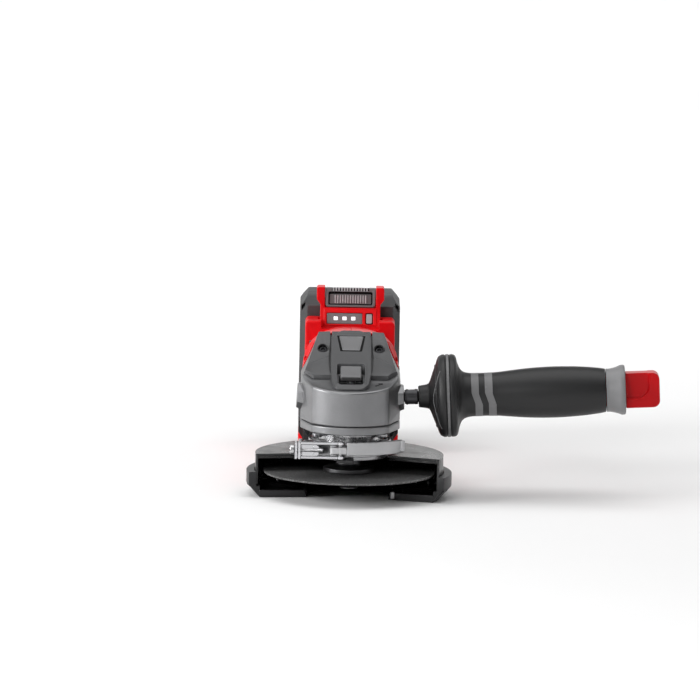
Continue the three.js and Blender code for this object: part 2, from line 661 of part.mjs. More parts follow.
function packCase() {
  const { halfWidth, frontY, rearY, bottom, top } = PACK;
  const front = outline(mirrored([
    [halfWidth - 5, bottom], [halfWidth, bottom + 5], [halfWidth, top - 8.2], [halfWidth - 6.3, top],
  ]));
  const side = outline([
    [frontY, bottom], [rearY - 6, bottom], [rearY, bottom + 6], [rearY, top - 8], [rearY - 8, top],
    [frontY + 14, top - 1.6], [frontY, top - 7],
  ]);
  return common(prismY(front, frontY, rearY), prismX(side, -50, 50));
}

function packHollow() {
  const { halfWidth, frontY, rearY, bottom } = PACK;
  const inside = halfWidth - CAVITY.wall + 0.6;
  return block(-inside, inside, frontY + CAVITY.wall, rearY - CAVITY.wall, bottom + 7, 84);
}

function packFront() {
  return cut(packCase().intersect(block(-50, 50, 200, CAVITY.split - 0.15, -20, 120)), packHollow());
}
function packRear() {
  return cut(packCase().intersect(block(-50, 50, CAVITY.split + 0.15, 300, -20, 120)), packHollow());
}

// The red rail shell: the T-shaped rail, the posts beside the latch, and the sloping display face.
function railShell() {
  const rearFace = PACK.frontY - GAP;
  const head = block(-24, 24, 206, 213.9, PACK.bottom, 98);
  const neck = block(-20.2, 20.2, 213, rearFace, PACK.bottom, 98);
  const posts = [-1, 1].map((s) => block(s > 0 ? 19.2 : -25.3, s > 0 ? 25.3 : -19.2, 209, rearFace, 97, 107));
  const latchWell = block(-19.2, 19.2, 204, rearFace - 2, 91.4, 120);
  const shoulder = prismX(outline([[204, 98.5], [204, 74.4], [206, 76.4], [210.5, 91.4], [209, 110], [204, 110]]), -30, 30);
  const sideSteps = [-1, 1].map((s) => block(s > 0 ? 22.6 : -30, s > 0 ? 30 : -22.6, 204, 240, 88, 97));
  const contactWell = block(-15.4, 15.4, 204, 213.3, -10, 20);
  return cut(join(head, neck, ...posts), latchWell, shoulder, ...sideSteps, contactWell, displayPocket(0.3), buttonPocket(0.3));
}

// Pockets on the sloping display face, cut square to the pack.
const displayPocket = (grow) => block(-17.4 - grow, 9 + grow, 200, 212.4 + grow, 80.4 - grow, 88.6 + grow);
const buttonPocket = (grow) => block(11.8 - grow, 16.8 + grow, 200, 213.4 + grow, 80.4 - grow, 88.6 + grow);
const displayFace = (proud) =>
  prismX(outline([[204 - proud, 70], [206 - proud, 76.4], [210.5 - proud, 91.4], [212 - proud, 96], [240, 96], [240, 70]]), -30, 30);

function latchButton() {
  const bezel = block(-18.8, 18.8, 210.6, 216, 91.9, 106.4);
  const window = block(-14.6, 14.6, 209, 212.4, 93.6, 102);
  const ribs = Array.from({ length: 13 }, (_, i) => block(-12.5 + i * 2, -11.3 + i * 2, 211.2, 213, 94.2, 101.4));
  return join(cut(bezel, window), ...ribs);
}

function batteryCell(index) {
  const [y, z] = [[238, 18], [238, 41.5], [238, 65], [261.5, 30], [261.5, 53.5]][index];
  const body = join(rodX(10.6, -34, 34, y, z, 20), rodX(4, 33, 35, y, z, 12));
  return part(`battery_cell_${index + 1}`, body, FINISH.midGrey);
}

const packGroup = () =>
  group(
    part("battery_front_case", packFront(), FINISH.blackPlastic),
    part("battery_rear_case", packRear(), FINISH.blackPlastic),
    part("battery_rail_shell", railShell(), FINISH.red),
    part("charge_display", displayPocket(0).intersect(displayFace(0.1)), FINISH.clear),
    ...[0, 1, 2, 3, 4].map(batteryCell),
  );
const chargeButton = () => part("charge_button", buttonPocket(0).intersect(displayFace(0.6)).intersect(block(0, 30, 200, 212.6, 70, 100)), FINISH.midGrey);

// ---------------------------------------------------------------- guard, clamp and cutting cover

function wheelGuard() {
  const { outer, sheet, top, bottom, endDeg } = GUARD;
  const inner = outer - sheet;
  const end = rad(endDeg);
  const edge = [[outer * Math.cos(end), outer * Math.sin(end)], [26, -3]];
  const arc = Array.from({ length: 41 }, (_, i) => {
    const angle = rad(endDeg + ((180 - 2 * endDeg) * i) / 40);
    return [outer * Math.cos(angle), outer * Math.sin(angle)];
  });
  const plate = prismZ(outline([...arc, [-26, -3], [26, -3]]), top - sheet, top);
  const skirt = arcBand(inner, outer, bottom, top - 0.5, endDeg, 180 - endDeg, 40);
  const slope = Math.atan2(edge[1][1] - edge[0][1], edge[1][0] - edge[0][0]);
  const lips = [1, -1].map((side) => {
    const length = Math.hypot(edge[1][0] - edge[0][0], edge[1][1] - edge[0][1]) - 4;
    const lip = new THREE.BoxGeometry(length, sheet, 8.2).translate(length / 2 + 0.8, -sheet / 2 - 0.05, top - 4.5);
    lip.rotateZ(slope).translate(edge[0][0], edge[0][1], 0);
    if (side < 0) lip.applyMatrix4(new THREE.Matrix4().makeScale(-1, 1, 1));
    return side > 0 ? solid(lip) : solid(flipped(lip));
  });
  const collar = ring(NECK_RADIUS + 0.4, 28.2, top - sheet, 25.4, 48);
  const tab = block(-9.5, 3, -38, -26, 12, 14.5);
  return cut(join(plate, skirt, ...lips, collar, turnedTab(tab)), rod(NECK_RADIUS + 0.4, 0, 40, { sides: 48 }));
}

// A mirrored geometry's faces turned outwards again.
function flipped(geometry) {
  const index = geometry.index.array;
  for (let i = 0; i < index.length; i += 3) [index[i + 1], index[i + 2]] = [index[i + 2], index[i + 1]];
  return geometry;
}

// The clamp is drawn square to the machine, so a piece of it on the turned guard is turned back.
const turnedTab = (body) => body.rotate([0, 0, -GUARD.turnDeg]);

function clampBand() {
  const gapSector = prismZ(outline([[0, 0], [-40, -24], [-40, -60], [-22, -60]]), 0, 40);
  const band = cut(ring(28.5, 30, 14.9, 25.4, 48), gapSector);
  const [px, py] = LATCH.pivot;
  const lugs = [17.4, 23.9].map((z) => join(rod(3.2, z, z + 1.2, { x: px, y: py, sides: 16 }), block(px - 2.6, px + 3.2, py, -27, z, z + 1.2)));
  const lugRoot = block(px + 0.4, px + 3.2, -31, -26.4, 14.9, 25.1).subtract(rod(28.6, 0, 40, { sides: 48 }));
  const pin = rod(1.5, 17.5, 25, { x: px, y: py, sides: 12 });
  const anchor = cut(block(-33.5, -24, -30, -13.5, 14.9, 25.2), rod(28.6, 0, 40, { sides: 48 }));
  return join(band, ...lugs, lugRoot, pin, anchor);
}

function clampLever() {
  const [px, py] = LATCH.pivot;
  const [qx, qy] = LATCH.linkPivot;
  const { leverRadius, leverCentreY } = LATCH;
  const root = join(
    rod(3.2, 18.9, 23.6, { x: px, y: py, sides: 20 }),
    block(px, qx, qy - 2.8, py + 2.8, 18.9, 23.6),
    rod(3, 18.9, 23.6, { x: qx, y: qy, sides: 20 }),
    block(qx, -2.4, -39.9, qy + 2.6, 18.9, 23.6),
  );
  const arm = arcBand(leverRadius - 1, leverRadius + 1, 17.8, 27.4, -93.9, -32.8, 24).translate([0, leverCentreY, 0]);
  const tip = rod(2.1, 18.6, 26.8, { x: 38, y: -19.4, sides: 16 });
  const linkPin = rod(1.5, 14.9, 27.5, { x: qx, y: qy, sides: 16 });
  return cut(join(root, arm, tip, linkPin), rod(1.8, 10, 30, { x: px, y: py, sides: 16 }));
}

function clampLink() {
  const [qx, qy] = LATCH.linkPivot;
  const arms = [15, 25.4].map((z) =>
    cut(join(block(-36, qx, qy - 2.3, qy + 2, z, z + 2), rod(3, z, z + 2, { x: qx, y: qy, sides: 20 })),
      rod(1.8, z - 1, z + 3, { x: qx, y: qy, sides: 16 })));
  const yoke = block(-35, -26, qy - 2.1, qy + 1.7, 15.6, 26.6);
  const hook = join(block(-40, -33.9, qy - 2.6, -32, 14.6, 27.2), block(-37.4, -34.1, -33, -18, 15.2, 26.8));
  return cut(join(...arms, yoke, hook), rodX(2.3, -45, -20, qy, 21.2, 16));
}

function adjustingScrew() {
  const [, qy] = LATCH.linkPivot;
  return join(rodX(3.6, -43.6, -40.3, qy, 21.2, 20), rodX(2, -41, -19.5, qy, 21.2, 16));
}

// The clip-on cover that closes the guard below the wheel for cutting work.
function cuttingCover() {
  const { outer, top, plateTop, endDeg, notchRadius } = COVER;
  const span = [endDeg, 180 - endDeg, 44];
  const wallGap = GUARD.outer + 0.35;
  const lower = GUARD.bottom - 0.4;
  const wall = arcBand(66.4, outer, FLOOR, top, ...span);
  const skirtRoom = arcBand(60, wallGap, lower, top + 1, endDeg - 1, 181 - endDeg, 44);
  const inside = rod(66.4, plateTop, 5, { sides: 78 });
  const [ex, ey] = [outer * Math.cos(rad(endDeg)), outer * Math.sin(rad(endDeg))];
  const arc = Array.from({ length: 45 }, (_, i) => {
    const angle = rad(endDeg + ((180 - 2 * endDeg) * i) / 44);
    return [outer * Math.cos(angle), outer * Math.sin(angle)];
  });
  const plateOutline = outline([...arc, [-ex + 8, ey + 2], [-notchRadius - 3, -14], [notchRadius + 3, -14], [ex - 8, ey + 2]]);
  const plate = prismZ(plateOutline, FLOOR, plateTop);
  const frontBars = [1, -1].map((s) => {
    const bar = [[s * (notchRadius + 1), -14], [s * (ex - 8), ey + 2], [s * (ex - 8), ey + 5], [s * (notchRadius + 1), -11]];
    return prismZ(outline(s > 0 ? bar : bar.reverse()), FLOOR, -12.4);
  });
  const notchRim = cut(rod(notchRadius + 3, FLOOR, -12.4, { sides: 48 }), block(-50, 50, -60, -13.9, -30, 0));
  const notch = join(rod(notchRadius, -30, 0, { sides: 48 }), block(-notchRadius, notchRadius, -60, 0, -30, 0));
  const chamfer = turned([[60, -30], [90, -30], [90, -8], [75.1, -8], [66.6, FLOOR - 0.02], [60, FLOOR - 0.02]], 78);
  const slots = Array.from({ length: 9 }, (_, i) => {
    const slot = new THREE.BoxGeometry(14, 4, 3.4).translate(70, 0, -12.6).rotateZ(rad(34 + i * 14));
    return solid(slot);
  });
  const endBlocks = [1, -1].map((s) => {
    const angle = s > 0 ? endDeg : 180 - endDeg;
    const blockEnd = new THREE.BoxGeometry(5.2, 6, 10).translate(72.2, s * 3.1, -3.8).rotateZ(rad(angle));
    return solid(blockEnd);
  });
  return cut(
    join(wall, plate, ...frontBars, notchRim, ...endBlocks),
    skirtRoom, inside.subtract(join(...frontBars, notchRim)), notch, chamfer, ...slots,
  );
}

function guardGroup() {
  const made = group(part("wheel_guard", wheelGuard(), FINISH.blackPaint), part("cutting_cover", cuttingCover(), FINISH.blackPlastic));
  made.rotation.z = rad(GUARD.turnDeg);
  return made;
}

const clampGroup = () =>
  group(
    part("clamp_band", clampBand(), FINISH.steel),
    part("clamp_lever", clampLever(), FINISH.steel),
    part("clamp_link", clampLink(), FINISH.chrome),
    part("adjusting_screw", adjustingScrew(), FINISH.steel),
  );

// ---------------------------------------------------------------- side handle

// Along the handle's axis, from the face of the boss: [radius, distance].
const GRIP_OUTLINE = [
  [7.4, 10.6], [9.1, 17.8], [9.8, 18.4], [26.4, 24.6], [30.2, 28], [30.2, 36.4], [28.6, 38.4], [19.5, 41], [16.4, 45],
  [15.8, 66], [17.6, 84], [18.7, 112], [18, 130], [15.8, 147.4],
];

function handleGrip() {
  const body = turned([[0, 10.6], ...GRIP_OUTLINE, [0, 147.4]], 32);
  const studBore = turned([[0, 5], [4.3, 5], [4.3, 46], [0, 46]]);
  const keyBore = rod(4.2, 86, 150);
  const plugBore = block(-11.4, 11.4, -6.4, 6.4, 138, 150);
  return cut(body, studBore, keyBore, plugBore);
}

function handleStud() {
  return turned([
    [0, -11.8], [3.4, -11.8], [4, -11.2], [4, 0.3], [5.2, 0.3], [5.2, 1.4], [5.65, 1.4], [5.65, 10.3], [4, 10.3], [4, 45.7], [0, 45.7],
  ], 18);
}

function handleEndCollar() {
  const body = turned([[0, 147.7], [15.8, 147.7], [17.4, 156], [18.25, 158.6], [18.25, 161], [17.6, 161.6], [0, 161.6]], 32);
  return cut(body, block(-11.4, 11.4, -6.4, 6.4, 140, 170));
}

function keyGrip() {
  const side = new THREE.Shape();
  const [half, z0, z1, corner] = [12.7, 161.9, 186.6, 5];
  side.moveTo(-half, z0);
  side.lineTo(half, z0);
  side.lineTo(half, z1 - corner);
  side.absarc(half - corner, z1 - corner, corner, 0, Math.PI / 2);
  side.lineTo(-half + corner, z1);
  side.absarc(-half + corner, z1 - corner, corner, Math.PI / 2, Math.PI);
  const head = prismY(side, -7.5, 7.5);
  const plug = block(-11, 11, -6, 6, 138.6, 162);
  return cut(join(head, plug), rod(3.3, 100, 150, { sides: 24 }));
}

function handleGroup() {
  const made = group(
    part("handle_stud", handleStud(), FINISH.steel),
    part("handle_grip", handleGrip(), FINISH.rubber),
    part("handle_end_collar", handleEndCollar(), FINISH.midGrey),
    part("key_grip", keyGrip(), FINISH.red),
    part("hex_key", rod(3, 88, 149.6, { sides: 6 }), FINISH.darkSteel),
  );
  const tilt = rad(HANDLE.tiltDeg);
  made.rotation.y = Math.PI / 2 - tilt;
  made.position.set(HANDLE.faceX * Math.cos(tilt), HANDLE.y, HANDLE.z - HANDLE.faceX * Math.sin(tilt) + HANDLE.faceX * Math.sin(tilt));
  return made;
}

// ---------------------------------------------------------------- the whole machine

const machine = group(
  gearHead(),
  spindleGroup(),
  lockGroup(),
  motorGroup(),
  rotorGroup(),
  housingGroup(),
  part("switch_slider", switchSlider(), FINISH.darkGrey),
  packGroup(),
  part("battery_latch", latchButton(), FINISH.midGrey),
  chargeButton(),
  guardGroup(),
  clampGroup(),
  handleGroup(),
);
machine.position.z = -SPINDLE_END;

const grinder = group(machine);
grinder.name = "angle_grinder";

export default grinder;
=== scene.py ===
"""Looks of a cordless angle grinder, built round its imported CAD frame.

Shapes are drawn in millimetres with z = 0 at the cutting wheel's middle plane, like the CAD, and `piece`
moves them into the row frame. +Y runs from the gear head to the battery, +X to the side handle.
"""

import math

import bmesh
import bpy
import numpy as np
from mathutils import Matrix, Vector


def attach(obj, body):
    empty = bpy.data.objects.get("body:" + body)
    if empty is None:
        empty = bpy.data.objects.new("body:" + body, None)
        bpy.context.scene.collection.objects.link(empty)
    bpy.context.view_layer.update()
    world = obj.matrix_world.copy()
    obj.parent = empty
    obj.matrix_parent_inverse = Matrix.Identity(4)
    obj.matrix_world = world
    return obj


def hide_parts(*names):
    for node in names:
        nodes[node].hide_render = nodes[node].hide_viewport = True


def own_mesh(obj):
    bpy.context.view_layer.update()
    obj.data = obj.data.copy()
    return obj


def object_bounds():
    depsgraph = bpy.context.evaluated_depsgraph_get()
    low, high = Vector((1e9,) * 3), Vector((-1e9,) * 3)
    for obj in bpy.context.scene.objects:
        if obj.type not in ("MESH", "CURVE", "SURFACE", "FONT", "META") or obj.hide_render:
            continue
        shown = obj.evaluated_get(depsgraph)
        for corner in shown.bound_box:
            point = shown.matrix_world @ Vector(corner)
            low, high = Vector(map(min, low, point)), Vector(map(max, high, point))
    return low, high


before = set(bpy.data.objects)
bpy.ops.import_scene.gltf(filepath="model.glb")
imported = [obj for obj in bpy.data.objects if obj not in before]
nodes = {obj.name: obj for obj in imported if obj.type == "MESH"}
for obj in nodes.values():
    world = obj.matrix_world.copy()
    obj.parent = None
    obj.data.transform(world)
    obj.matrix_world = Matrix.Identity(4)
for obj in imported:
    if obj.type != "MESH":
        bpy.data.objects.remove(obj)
cad_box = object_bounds()

WHEEL_Z = 12.5  # height of the wheel's middle plane above the origin, in mm
ROW_FRAME = Matrix.Translation((0, 0, WHEEL_Z / 1000)) @ Matrix.Scale(0.001, 4)
FLAT_ANGLE = math.radians(0.4)  # faces closer than this to one plane are merged

rad = math.radians


# ------------------------------------------------------------------ meshes


def mesh_of(verts, faces):
    """A mesh datablock from points and faces, its faces turned outwards."""
    me = bpy.data.meshes.new("shape")
    me.from_pydata([tuple(v) for v in verts], [], [tuple(f) for f in faces])
    bm = bmesh.new()
    bm.from_mesh(me)
    bmesh.ops.remove_doubles(bm, verts=bm.verts, dist=1e-4)
    bmesh.ops.recalc_face_normals(bm, faces=bm.faces)
    bm.to_mesh(me)
    bm.free()
    return me


def from_bmesh(bm):
    me = bpy.data.meshes.new("shape")
    bm.to_mesh(me)
    bm.free()
    return me


def moved(me, matrix):
    me = me.copy()
    me.transform(matrix)
    if matrix.determinant() < 0:
        me.flip_normals()
    return me


def at(me, x=0, y=0, z=0, turn=0, axis="Z"):
    """A copy turned about an axis through the origin, in degrees, then moved."""
    return moved(me, Matrix.Translation((x, y, z)) @ Matrix.Rotation(rad(turn), 4, axis))


def mirrored(me):
    return moved(me, Matrix.Scale(-1, 4, (1, 0, 0)))


def merged(*shapes):
    """Separate shapes in one mesh, not joined to each other."""
    bm = bmesh.new()
    for me in shapes:
        bm.from_mesh(me)
    return from_bmesh(bm)


def boolean(a, b, operation):
    objects = [bpy.data.objects.new("tmp", me) for me in (a, b)]
    for o in objects:
        bpy.context.scene.collection.objects.link(o)
    mod = objects[0].modifiers.new("op", "BOOLEAN")
    mod.operation, mod.object, mod.solver = operation, objects[1], "MANIFOLD"
    dg = bpy.context.evaluated_depsgraph_get()
    out = bpy.data.meshes.new_from_object(objects[0].evaluated_get(dg))
    for o in objects:
        bpy.data.objects.remove(o)
    return out


def fold(operation, shapes):
    out = shapes[0]
    for tool in shapes[1:]:
        out = boolean(out, tool, operation)
    return out


def join(*shapes):
    return fold("UNION", shapes)


def cut(*shapes):
    return fold("DIFFERENCE", shapes)


def common(*shapes):
    return fold("INTERSECT", shapes)


def block(x0, x1, y0, y1, z0, z1):
    return prism_z([(x0, y0), (x1, y0), (x1, y1), (x0, y1)], z0, z1)


def beside(side, near, far, *yz):
    """A block on the left (1) or on the right (-1), between two distances from the middle plane."""
    return block(near, far, *yz) if side > 0 else block(-far, -near, *yz)


def skin(rings):
    """A skin through rings of equally many points, closed by a flat cap at each end."""
    count = len(rings[0])
    verts = [p for r in rings for p in r]
    last = len(verts) - count
    faces = []
    for a in range(0, last, count):
        b = a + count
        for j in range(count):
            k = (j + 1) % count
            faces.append((a + j, a + k, b + k, b + j))
    return mesh_of(verts, faces + [tuple(range(count)), tuple(range(last, last + count))])


def prism(points, low, high, place):
    return skin([[place(u, v, low) for u, v in points], [place(u, v, high) for u, v in points]])


def prism_z(points, z0, z1):
    return prism(points, z0, z1, lambda u, v, w: (u, v, w))


def prism_x(points, x0, x1):
    return prism(points, x0, x1, lambda u, v, w: (w, u, v))


def prism_y(points, y0, y1):
    return prism(points, y0, y1, lambda u, v, w: (u, w, v))


def rod(radius, z0, z1, x=0, y=0, sides=64):
    return turned([(0, z0), (radius, z0), (radius, z1), (0, z1)], sides, x, y)


def rod_x(radius, x0, x1, y, z, sides=48):
    return at(rod(radius, x0, x1, sides=sides), 0, y, z, 90, "Y")


def rod_y(radius, y0, y1, x, z, sides=48):
    return at(rod(radius, -y1, -y0, sides=sides), x, 0, z, 90, "X")


def circle(sides):
    """The cosine and sine of equal steps round a circle."""
    angles = [2 * math.pi * i / sides for i in range(sides)]
    return [(math.cos(a), math.sin(a)) for a in angles]


def turned(profile, sides=96, x=0, y=0):
    """A solid of revolution about Z from (radius, z) points. Points on the axis close it."""
    verts, rows = [], []
    for r, z in profile:
        if r < 1e-6:
            rows.append([len(verts)] * sides)
            verts.append((x, y, z))
        else:
            rows.append(list(range(len(verts), len(verts) + sides)))
            verts += [(x + r * u, y + r * v, z) for u, v in circle(sides)]
    loop = profile[0][0] > 1e-6
    faces = []
    for i in range(len(rows) if loop else len(rows) - 1):
        a, b = rows[i], rows[(i + 1) % len(rows)]
        for j in range(sides):
            k = (j + 1) % sides
            quad = []
            for v in (a[j], a[k], b[k], b[j]):
                if v not in quad:
                    quad.append(v)
            if len(quad) > 2:
                faces.append(quad)
    return mesh_of(verts, faces)


def ring(inner, outer, z0, z1, sides=96):
    return turned([(inner, z0), (outer, z0), (outer, z1), (inner, z1)], sides)


def polar(radius, degrees):
    return radius * math.cos(rad(degrees)), radius * math.sin(rad(degrees))


def arc(radius, start, end, steps):
    return [polar(radius, start + (end - start) * i / steps) for i in range(steps + 1)]


def arc_band(inner, outer, z0, z1, start, end, steps=96):
    return prism_z(arc(outer, start, end, steps) + arc(inner, end, start, steps), z0, z1)


def rounded(points, radius, steps=5):
    """A polygon with rounded corners. The radius is one number, or one for each corner."""
    out = []
    count = len(points)
    radii = radius if hasattr(radius, "__len__") else [radius] * count
    for i, p in enumerate(points):
        p = Vector(p)
        a, b = Vector(points[i - 1]) - p, Vector(points[(i + 1) % count]) - p
        r = radii[i]
        if r <= 0:
            out.append(tuple(p))
            continue
        half = a.angle(b) / 2
        reach = min(r / math.tan(half), a.length * 0.49, b.length * 0.49)
        r = reach * math.tan(half)
        centre = p + (a.normalized() + b.normalized()).normalized() * (r / math.sin(half))
        start, end = p + a.normalized() * reach - centre, p + b.normalized() * reach - centre
        sweep = math.atan2(start.x * end.y - start.y * end.x, start.dot(end))
        base = math.atan2(start.y, start.x)
        angles = [base + sweep * k / steps for k in range(steps + 1)]
        out += [(centre.x + r * math.cos(a), centre.y + r * math.sin(a)) for a in angles]
    return out


def panel(u0, u1, v0, v1, radius, steps=5):
    """A rectangle with rounded corners."""
    return rounded([(u0, v0), (u1, v0), (u1, v1), (u0, v1)], radius, steps)


def both(points):
    """A polygon mirrored in its first coordinate, from the points of its positive side."""
    return list(points) + [(-u, v) for u, v in reversed(points)]


def pair(prism_of, points, low, high):
    """The same prism on the left and on the right."""
    return [prism_of([(s * u, v) for u, v in points], low, high) for s in (1, -1)]


def tube(path, radius):
    """A round wire along points."""
    pts = [Vector(p) for p in path]
    rings, side = [], None
    for i, p in enumerate(pts):
        t = (pts[min(i + 1, len(pts) - 1)] - pts[max(i - 1, 0)]).normalized()
        side = t.orthogonal().normalized() if side is None else (side - t * side.dot(t)).normalized()
        up = t.cross(side)
        rings.append([p + radius * (u * side + v * up) for u, v in circle(10)])
    return skin(rings)


def thread(turns, start, pitch, *crest):
    """The toothed part of a screw's profile, from the (radius, z) points of one turn."""
    return [(r, start + k * pitch + z) for k in range(turns) for r, z in crest]


def hermite(t, h, start, end, slope0, slope1):
    """A cubic from start to end over a span h, at the fraction t of it."""
    ends = (2 * t**3 - 3 * t**2 + 1) * start + (t**3 - 2 * t**2 + t) * h * slope0 + (3 * t**2 - 2 * t**3) * end
    return ends + (t**3 - t**2) * h * slope1


def clean(me):
    """Merges what the boolean left in pieces: near points and flat neighbours."""
    bm = bmesh.new()
    bm.from_mesh(me)
    bmesh.ops.remove_doubles(bm, verts=bm.verts, dist=0.01)
    bmesh.ops.dissolve_degenerate(bm, dist=0.01, edges=bm.edges)
    bmesh.ops.dissolve_limit(bm, angle_limit=FLAT_ANGLE, verts=bm.verts, edges=bm.edges, delimit={"NORMAL"})
    bmesh.ops.recalc_face_normals(bm, faces=bm.faces)
    return from_bmesh(bm)


def bevel_edges(o, width, segments, angle, clamp=False):
    mod = o.modifiers.new("edges", "BEVEL")
    mod.width, mod.segments, mod.limit_method, mod.angle_limit = width, segments, "ANGLE", rad(angle)
    mod.use_clamp_overlap = clamp
    return mod


def smooth(me):
    me.polygons.foreach_set("use_smooth", [True] * len(me.polygons))


def weight_normals(o):
    o.modifiers.new("normals", "WEIGHTED_NORMAL").keep_sharp = True


def softened(me, width, segments=4, limit=30):
    """A copy with its edges rounded."""
    o = bpy.data.objects.new("tmp", clean(me))
    bpy.context.scene.collection.objects.link(o)
    bevel_edges(o, width, segments, limit, clamp=True)
    out = bpy.data.meshes.new_from_object(o.evaluated_get(bpy.context.evaluated_depsgraph_get()))
    bpy.data.objects.remove(o)
    return out


REPLACED = set()


def piece(name, me, body, mat, replaces=(), slot=None, bevel=0.35, segments=2, sharp=40):
    """A finished piece of the object: bevelled, smooth-shaded, riding on its body."""
    me = clean(me)
    me.transform(ROW_FRAME)
    me.name = name
    o = bpy.data.objects.new(name, me)
    bpy.context.scene.collection.objects.link(o)
    if bevel:
        bevel_edges(o, bevel / 1000, segments, 30).miter_outer = "MITER_ARC"
        sharp = 60
    smooth(me)
    me.set_sharp_from_angle(angle=rad(sharp))
    weight_normals(o)
    me.materials.append(MAT[mat])
    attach(o, body)
    if replaces:
        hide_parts(*replaces)
        REPLACED.update(replaces)
    return o


# ------------------------------------------------------------------ materials


class Nodes:
    """A short way to write a material's node tree."""

    def __init__(self, name):
        self.mat = bpy.data.materials.new(name)
        self.mat.use_nodes = True
        self.tree = self.mat.node_tree
        self.bsdf = self.tree.nodes["Principled BSDF"]
        self.place = self.add("ShaderNodeTexCoord").outputs["Object"]

    def add(self, kind, inputs=None, **settings):
        node = self.tree.nodes.new(kind)
        for key, value in settings.items():
            setattr(node, key, value)
        for key, value in (inputs or {}).items():
            if isinstance(value, bpy.types.NodeSocket):
                self.tree.links.new(value, node.inputs[key])
            else:
                node.inputs[key].default_value = value
        return node

    def noise(self, scale, detail=3, roughness=0.6, distortion=0, vector=None):
        node = self.add("ShaderNodeTexNoise", {"Vector": vector or self.place, "Scale": scale, "Detail": detail,
                "Roughness": roughness, "Distortion": distortion})
        return node.outputs["Fac"]

    def ramp(self, value, stops):
        node = self.add("ShaderNodeValToRGB", {"Fac": value})
        while len(node.color_ramp.elements) < len(stops):
            node.color_ramp.elements.new(0.5)
        for element, (position, colour) in zip(node.color_ramp.elements, stops):
            element.position = position
            element.color = (*colour, 1) if hasattr(colour, "__len__") else (colour, colour, colour, 1)
        return node.outputs["Color"]

    def math(self, operation, a, b=0.0):
        return self.add("ShaderNodeMath", {0: a, 1: b}, operation=operation).outputs[0]

    def times(self, a, b):
        return self.math("MULTIPLY", a, b)

    def plus(self, a, b):
        return self.math("ADD", a, b)

    def off_axis(self):
        """Distance from the spindle's axis."""
        flat = self.add("ShaderNodeVectorMath", {0: self.place, 1: (1, 1, 0)}, operation="MULTIPLY").outputs[0]
        return self.add("ShaderNodeVectorMath", {0: flat}, operation="LENGTH").outputs["Value"]

    def wave(self, axis, scale, **inputs):
        inputs = {"Vector": self.place, "Scale": scale, **inputs}
        return self.add("ShaderNodeTexWave", inputs, bands_direction=axis).outputs["Fac"]

    def mix(self, factor, a, b):
        node = self.add("ShaderNodeMix", data_type="RGBA")
        for key, value in ((0, factor), (6, a), (7, b)):
            if isinstance(value, bpy.types.NodeSocket):
                self.tree.links.new(value, node.inputs[key])
            elif key == 0:
                node.inputs[key].default_value = value
            else:
                node.inputs[key].default_value = (*value, 1)
        return node.outputs[2]

    def spread(self, value, low, high):
        """Maps 0..1 onto low..high."""
        node = self.add("ShaderNodeMapRange", {"Value": value, "To Min": low, "To Max": high})
        return node.outputs["Result"]

    def bump(self, height, strength, distance):
        inputs = {"Height": height, "Strength": strength, "Distance": distance}
        return self.add("ShaderNodeBump", inputs).outputs["Normal"]

    def edge(self, low=0.52, high=0.6):
        """1 on outward edges, 0 elsewhere."""
        point = self.add("ShaderNodeNewGeometry").outputs["Pointiness"]
        node = self.add("ShaderNodeMapRange", {"Value": point, "From Min": low, "From Max": high})
        return node.outputs["Result"]

    def set(self, **values):
        for key, value in values.items():
            name = key.replace("_", " ")
            if isinstance(value, bpy.types.NodeSocket):
                self.tree.links.new(value, self.bsdf.inputs[name])
            else:
                if hasattr(value, "__len__") and len(value) == 3:
                    value = (*value, 1)
                self.bsdf.inputs[name].default_value = value
        return self.mat


def shade(colour, factor):
    return tuple(min(1, c * factor) for c in colour)


def moulded(name, colour, rough=0.5, grain=1800, depth=0.00005, gloss=0.5, edge_lightening=1.6, coat=0.0):
    """Moulded plastic or rubber: fine eroded grain, faint blotches, paler edges that are partly rubbed wear and
    partly a painted edge highlight.
    """
    n = Nodes(name)
    blotch = n.noise(35, 4)
    fine = n.noise(grain, 2, 0.7)
    scuff = n.noise(240, 6, 0.75, 0.4)
    base = n.mix(blotch, shade(colour, 0.86), shade(colour, 1.14))
    base = n.mix(n.times(n.ramp(scuff, [(0.56, 0.0), (0.72, 1.0)]), 0.18), base, shade(colour, 1.35))
    # edges lightened by pointiness: partly rubbed wear, partly a painted highlight along the edges
    rubbed_and_highlit_edges = n.times(n.edge(), n.ramp(n.noise(420, 4), [(0.35, 0.15), (0.65, 1.0)]))
    base = n.mix(n.times(rubbed_and_highlit_edges, 0.55), base, shade(colour, edge_lightening))
    roughness = n.spread(n.plus(n.times(scuff, 0.7), n.times(blotch, 0.3)), rough - 0.09, rough + 0.09)
    n.set(Base_Color=base, Roughness=roughness, Normal=n.bump(fine, 0.55, depth), Specular_IOR_Level=gloss)
    if coat:
        n.set(Coat_Weight=coat, Coat_Roughness=0.18)
    return n.mat


def metal(name, colour, rough=0.3, metallic=1.0, brushed=None, spots=0.12):
    """Bare or plated metal: brushing or fine grain, small spots and scratches, brighter edges."""
    n = Nodes(name)
    where = n.place
    if brushed:
        where = n.add("ShaderNodeMapping", {"Vector": n.place, "Scale": brushed}).outputs["Vector"]
    fine = n.noise(900, 3, 0.65, vector=where)
    cloud = n.noise(60, 4)
    scratch = n.noise(700, 8, 0.8, 1.5)
    base = n.mix(cloud, shade(colour, 0.9), shade(colour, 1.08))
    base = n.mix(n.times(n.ramp(scratch, [(0.58, 0.0), (0.68, 1.0)]), spots), base, shade(colour, 0.55))
    base = n.mix(n.times(n.edge(), 0.4), base, shade(colour, 1.25))
    roughness = n.spread(n.plus(n.times(fine, 0.5), n.times(cloud, 0.5)), rough - 0.1, rough + 0.1)
    return n.set(Base_Color=base, Roughness=roughness, Metallic=metallic, Normal=n.bump(fine, 0.4, 0.00003))


